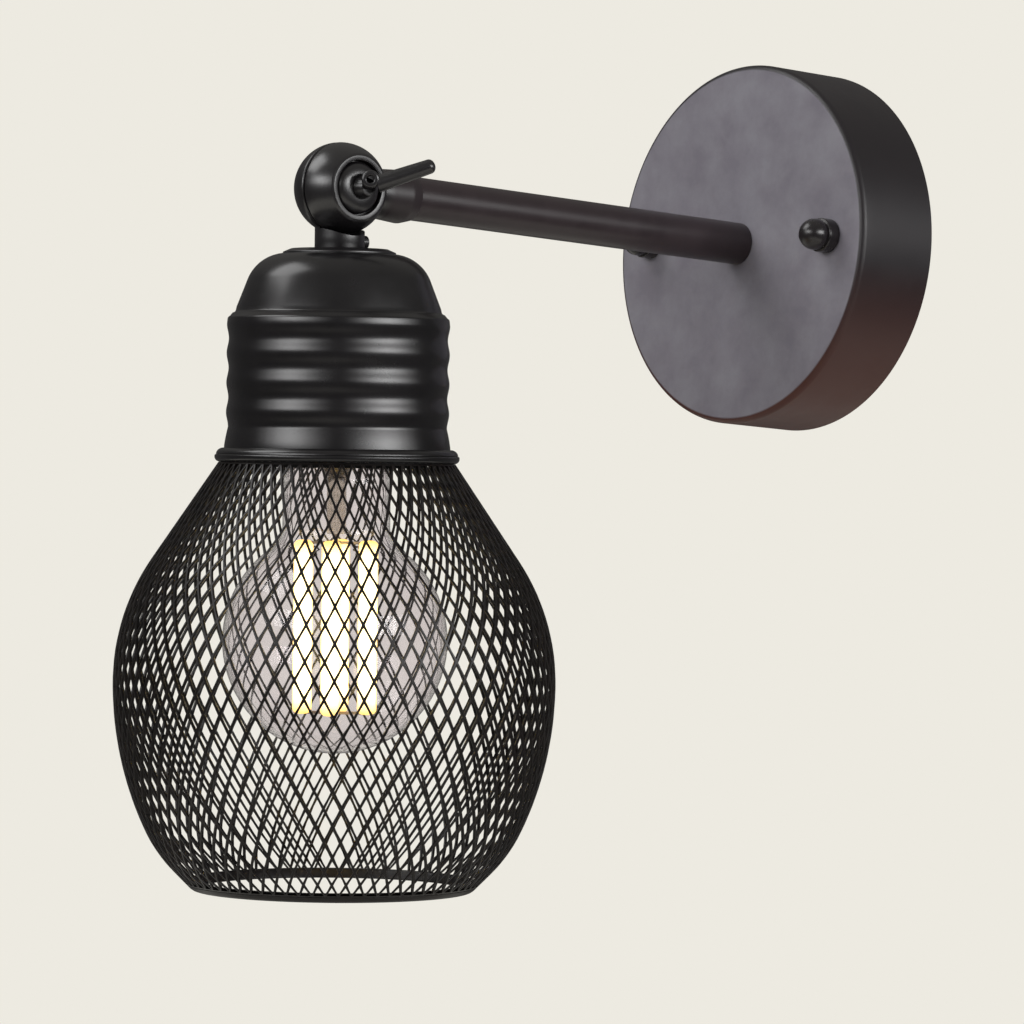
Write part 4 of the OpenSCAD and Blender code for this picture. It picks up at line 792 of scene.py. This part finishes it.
def build_lever():
    """Lever screw: a shank and a tapered hub, an eye across the view, and a round bar with a domed end."""
    turn_to_x = about_x(1)
    shank = rounded([(0, SHANK_END, 0), (SCREW_R, SHANK_END, 0.5), (SCREW_R, HUB_FOOT, 0),
                     (HUB_R, HUB_FOOT, 0.3), (HUB_TOP_R, HUB_TOP, 0.4), (0, HUB_TOP, 0)])
    bearing, lift = math.radians(LEVER_BEARING), math.radians(LEVER_LIFT)
    across = np.array([-math.sin(bearing), math.cos(bearing), 0])
    way = np.array([math.cos(bearing) * math.cos(lift), math.sin(bearing) * math.cos(lift), math.sin(lift)])
    upright = np.cross(way, across)
    eye = np.array([EYE_X, 0, EYE_RISE])
    ring = rounded([(EYE_HOLE_R, -EYE_HALF_W, 0.35), (EYE_R, -EYE_HALF_W, 0.7),
                    (EYE_R, EYE_HALF_W, 0.7), (EYE_HOLE_R, EYE_HALF_W, 0.35)], 6)
    turn = np.radians(np.linspace(0, 84, 12))
    end = np.stack([TIP_R * np.cos(turn), LEVER_LEN - TIP_DOME * (1 - np.sin(turn))], -1)
    bar = np.concatenate([[(0, ROOT_START), (ROOT_R, ROOT_START)], end, [(0, LEVER_LEN)]])

    def by_eye(along, aside, up):
        """Points counted from the eye: along the lever, across it, and up from it."""
        return head_xyz(eye + along * way + aside * across + up * upright)

    make_piece(
        "lever_screw", "lever", "smoked_metal", ["clamp_lever"],
        turned(shank, lambda p: head_xyz(turn_to_x(p)), 80),
        turned(ring, lambda p: by_eye(p[..., :1], p[..., 2:], p[..., 1:2]), 64),
        turned(bar, lambda p: by_eye(p[..., 2:], p[..., 1:2], p[..., :1] - LEVER_DROP), 64),
        material=SMOKED_LACQUER)


# ------------------------------------------------------------------ the canopy, its nuts and the arm

CANOPY_R, CANOPY_DEPTH = edge_of("canopy", HIGHEST, X), -edge_of("canopy", LOWEST, Y)
CANOPY_WALL, CANOPY_EDGE = 1.0, 1.8
NUT_R, NUT_SKIRT, NUT_BALL_R, NUT_BORE_R, NUT_BORE_H = 4.75, 3.8, 4.35, 2.05, 7.4
NUT_H = round(-edge_of("cap_nuts", LOWEST, Y) - CANOPY_DEPTH, 2)
STUD_X = edge_of("cap_nuts", HIGHEST, X) - NUT_R
STUD_Z = round((edge_of("cap_nuts", LOWEST, Z) + edge_of("cap_nuts", HIGHEST, Z)) / 2, 2)
ARM_R, ARM_WALL = edge_of("arm_tube", HIGHEST, X), 0.9


def out_of_wall(x, z):
    """Places a turned solid about an axis that points out of the wall at (x, z)."""
    return lambda p: np.stack([x + p[..., 0], -p[..., 2], z + p[..., 1]], -1)


def build_canopy():
    """Deep-drawn canopy: its skirt, rounded edge and face as one sheet."""
    corner = (CANOPY_R - CANOPY_EDGE, CANOPY_DEPTH - CANOPY_EDGE)
    skirt = [(CANOPY_R, height) for height in (0, 6, 14, 22)]
    face = [(30, CANOPY_DEPTH), (NIPPLE_ROOM_R, CANOPY_DEPTH), (NIPPLE_ROOM_R, CANOPY_DEPTH - CANOPY_WALL)]
    line = np.concatenate([
        skirt, arc(corner, CANOPY_EDGE, 0, 90, 12), face,
        arc(corner, CANOPY_EDGE - CANOPY_WALL, 90, 0, 6), [(CANOPY_R - CANOPY_WALL, 0)]])
    make_piece("wall_canopy", "wall_arm", "pewter_lacquer", ["canopy"],
               turned(line, out_of_wall(0, 0), 256), material=CANOPY_LACQUER_AND_PAINTED_LIGHT, smooth=50)


def build_nuts():
    """The two cap nuts: a round skirt and a ball, drilled blind for the stud."""
    foot = [(NUT_BORE_R, 0), (NUT_R - 0.3, 0), (NUT_R, 0.3)]
    top = NUT_H - NUT_BALL_R
    waist = math.degrees(math.asin((NUT_SKIRT + 0.1 - top) / NUT_BALL_R))
    body = np.concatenate([
        foot, arc((NUT_R - 0.4, NUT_SKIRT - 0.4), 0.4, 0, 90, 5),
        arc((0, top), NUT_BALL_R, waist, 90, 24), [(0, NUT_BORE_H), (NUT_BORE_R, NUT_BORE_H)]])
    body[:, 1] += CANOPY_DEPTH
    nuts = [turned(body, out_of_wall(side * STUD_X, STUD_Z), 64) for side in (-1, 1)]
    make_piece("ball_nuts", "wall_arm", "smoked_metal", ["cap_nuts"], *nuts, material=NUT_LACQUER)


def build_arm():
    """The straight tube from the canopy's face into the ball's collar."""
    end = -PIVOT[Y] - SOCKET_START
    tube = rounded([(ARM_R - ARM_WALL, CANOPY_DEPTH, 0), (ARM_R, CANOPY_DEPTH, 0.3), (ARM_R, end, 0),
                    (ARM_R - ARM_WALL, end, 0)])
    make_piece("straight_arm", "wall_arm", "smoked_metal", ["arm_tube"],
               turned(tube, out_of_wall(0, 0), 96), material=ARM_LACQUER)


# ------------------------------------------------------------------ the lamp

LAMP_CAP_END, GLASS_END, GLASS_R, GLASS_NECK_R, GLASS_WALL = 70.6, 149.8, 29.9, 14.3, 0.8
NECK_STRAIGHT, THREAD_R = 19.0, 13.2
ROD_RING, ROD_R, ROD_TOP, ROD_BOTTOM = 8.7, 2.6, 93.4, 139.4


def glass_line():
    """The lamp's glass: a neck, a hollow curve into the ball, and a round end on the axis."""
    centre = GLASS_END - GLASS_R
    start = LAMP_CAP_END + NECK_STRAIGHT
    radius = ((centre - start) ** 2 / (GLASS_R - GLASS_NECK_R) - GLASS_R - GLASS_NECK_R) / 2
    turn = math.degrees(math.atan2(centre - start, GLASS_NECK_R + radius))
    # the glass starts inside the screw cap
    foot = THREAD_R - 1.4
    neck = [(foot, LAMP_CAP_END - 1.6), (foot, LAMP_CAP_END + 0.3), (GLASS_NECK_R - 0.9, LAMP_CAP_END + 2.2),
            (GLASS_NECK_R - 0.25, LAMP_CAP_END + 5.0), (GLASS_NECK_R, LAMP_CAP_END + 8.5)]
    hollow = arc((GLASS_NECK_R + radius, start), radius, 180, 180 - turn, 16)
    return np.concatenate([neck, hollow, arc((0, centre), GLASS_R, -turn, 90, 48)[1:]])


def build_glass():
    """The lamp's glass as one wall, closed on the axis."""
    outside = glass_line()
    sheet = walled(outside, GLASS_WALL)
    sheet[len(outside)] = outside[-1] - [0, GLASS_WALL]
    make_piece("lamp_glass", "lamp", "clear_glass", ["bulb_glass"],
               turned(sheet, in_head, 128), material=CLEAR_GLASS, smooth=60)


def upright_rod(x, y):
    """One rod down the head, with rounded ends and rings of points along it."""
    corner = 0.6 * ROD_R
    line = rounded([(0, ROD_TOP, 0), (ROD_R, ROD_TOP, corner), (ROD_R, ROD_BOTTOM, corner),
                    (0, ROD_BOTTOM, 0)], 4)
    depth = np.linspace(ROD_TOP + ROD_R, ROD_BOTTOM - ROD_R, 24)[1:-1]
    rings = np.column_stack([np.full(len(depth), ROD_R), depth])
    split = np.argmax(np.diff(line[:, 1])) + 1
    line = np.concatenate([line[:split], rings, line[split:]])
    return turned(line, lambda p: in_head(p + [x, y, 0]), 16)


def build_rods():
    """Four glowing rods on a square; an attribute gives each point's distance from its rod's nearer end."""
    corners = np.radians(45 + 90 * np.arange(4))
    places = ROD_RING * np.stack([np.cos(corners), np.sin(corners)], -1)
    rods = make_piece("glowing_rods", "lamp", "warm_glow", ["bulb_rods"],
                      *[upright_rod(x, y) for x, y in places], material=GLOW)
    points = np.zeros(len(rods.data.vertices) * 3)
    rods.data.vertices.foreach_get("co", points)
    depth = (points.reshape(-1, 3) / MM - PIVOT) @ DOWN
    share = np.minimum(depth - ROD_TOP, ROD_BOTTOM - depth) / (ROD_BOTTOM - ROD_TOP)
    mark = rods.data.attributes.new("along", "FLOAT", "POINT")
    mark.data.foreach_set("value", np.clip(share, 0, 1).astype(np.float32))


build_cap()
build_collar()
build_cage()
build_hem()
build_ball_joint()
build_washer()
build_lever()
build_canopy()
build_nuts()
build_arm()
build_glass()
build_rods()

# ------------------------------------------------------------------ studio

BACKGROUND, FLOOR_COLOUR = (0.847, 0.823, 0.753, 1), (0.80, 0.775, 0.71, 1)
FILL_COLOUR, FILL_STRENGTH = (0.84, 0.82, 0.84, 1), 0.07
GLOSS_START, GLOSS_FULL, LOW_GLOSS, OVERHEAD_GLOSS = 0.25, 0.95, 0.035, 0.34
CAMERA_PLACE = (1.03756, -0.95532, -0.11987)
CAMERA_BEARING, CAMERA_RISE, CAMERA_ROLL, CAMERA_LENS = 50.596, -1.641, 3.716, 172.95


def looking_back(bearing, rise):
    """Right, up and back of something that looks at the light from a bearing and a rise in degrees."""
    bearing, rise = math.radians(bearing), math.radians(rise)
    level = math.cos(rise)
    back = np.array([math.sin(bearing) * level, -math.cos(bearing) * level, math.sin(rise)])
    right = np.cross([0, 0, 1], back)
    right /= np.linalg.norm(right)
    return right, np.cross(back, right), back


def placed(right, up, back, place):
    """The matrix of an object with these axes at a place."""
    matrix = np.eye(4)
    matrix[:3] = np.column_stack([right, up, back, place])
    return Matrix(matrix)


def build_camera():
    """The camera at its fitted place, looking back along a bearing and a rise, and rolled."""
    right, up, back = looking_back(CAMERA_BEARING, CAMERA_RISE)
    roll = math.radians(CAMERA_ROLL)
    camera_x = right * math.cos(roll) + up * math.sin(roll)
    camera_y = -right * math.sin(roll) + up * math.cos(roll)
    camera = bpy.data.objects.new("camera", bpy.data.cameras.new("camera"))
    bpy.context.scene.collection.objects.link(camera)
    camera.data.lens = CAMERA_LENS
    camera.data.sensor_width = 36.0
    camera.data.clip_end = 60.0
    camera.matrix_world = placed(camera_x, camera_y, back, CAMERA_PLACE)
    bpy.context.scene.camera = camera


def build_world():
    """Even pale surroundings to the eye and through glass; in gloss they are dark, and lighter overhead."""
    world = bpy.data.worlds.new("studio")
    world.use_nodes = True
    tree = world.node_tree
    tree.nodes.clear()
    seen = add(tree, "ShaderNodeBackground", [("Color", BACKGROUND), ("Strength", 1.0)])
    fill = add(tree, "ShaderNodeBackground", [("Color", FILL_COLOUR), ("Strength", FILL_STRENGTH)])
    path = add(tree, "ShaderNodeLightPath")
    direct = reckoned(tree, "MAXIMUM", path.outputs["Is Camera Ray"], path.outputs["Is Transmission Ray"])
    way = add(tree, "ShaderNodeTexCoord").outputs["Generated"]
    above = spread(tree, part_of(tree, way, "Z"), GLOSS_START, GLOSS_FULL, LOW_GLOSS, OVERHEAD_GLOSS)
    gloss = reckoned(tree, "MULTIPLY", path.outputs["Is Glossy Ray"], above)
    share = reckoned(tree, "MAXIMUM", direct, gloss)
    mix = add(tree, "ShaderNodeMixShader", [(0, share), (1, fill.outputs[0]), (2, seen.outputs[0])])
    target = add(tree, "ShaderNodeOutputWorld")
    tree.links.new(mix.outputs[0], target.inputs["Surface"])
    bpy.context.scene.world = world


def build_floor():
    """Pale round floor well under the light, fading into the background at its edge."""
    height, radius, middle_y, count = -0.9, 1.6, -0.15, 96
    angle = np.linspace(0, 2 * math.pi, count, endpoint=False)
    ring = [radius * np.cos(angle), radius * np.sin(angle) + middle_y, np.full(count, height)]
    mesh = bpy.data.meshes.new("floor")
    mesh.from_pydata(np.stack(ring, -1).tolist(), [], [list(range(count))])
    floor = bpy.data.objects.new("floor", mesh)
    bpy.context.scene.collection.objects.link(floor)
    material = bpy.data.materials.new("floor")
    material.use_nodes = True
    tree = material.node_tree
    tree.nodes.clear()
    matt = add(tree, "ShaderNodeBsdfPrincipled", [("Base Color", FLOOR_COLOUR), ("Roughness", 0.9)])
    lit = add(tree, "ShaderNodeEmission", [("Color", BACKGROUND), ("Strength", 1.0)])
    rim = spread(tree, reach_of(tree, object_place(tree), (1.0, 1.0, 0.0)), 0.5, 1.4)
    mix = add(tree, "ShaderNodeMixShader", [(0, rim), (1, matt.outputs[0]), (2, lit.outputs[0])])
    target = add(tree, "ShaderNodeOutputMaterial")
    tree.links.new(mix.outputs[0], target.inputs["Surface"])
    mesh.materials.append(material)


SOFTBOX_AIM = (0.0, -0.12, -0.04)


def add_softbox(name, bearing, rise, distance, width, height, power):
    """Soft lamp at a bearing and a rise in degrees from the light's middle, turned towards it."""
    right, up, back = looking_back(bearing, rise)
    data = bpy.data.lights.new(name, "AREA")
    data.shape = "RECTANGLE"
    data.size, data.size_y = width, height
    data.energy = power
    lamp = bpy.data.objects.new(name, data)
    bpy.context.scene.collection.objects.link(lamp)
    lamp.matrix_world = placed(right, up, back, np.array(SOFTBOX_AIM) + back * distance)
    lamp.visible_camera = False


def add_soft_strip(name, bearing, rise, height, power, distance=1.5, width=0.29, step=11.0):
    """Row of seven soft lamps side by side; their power falls off to both sides as a bell curve."""
    for k in range(-3, 4):
        share = math.exp(-k * k / 4)
        add_softbox(f"{name}_{k + 4}", bearing + step * k, rise, distance, width, height, power * share)


build_camera()
build_world()
build_floor()
add_soft_strip("left_strip", bearing=2, rise=14, height=0.40, power=2.5)
add_soft_strip("right_strip", bearing=101, rise=14, height=0.46, power=4.1)
add_softbox("key_softbox", bearing=-38, rise=44, distance=1.6, width=0.90, height=0.90, power=9.5)

view = bpy.context.scene.view_settings
view.view_transform = "Standard"
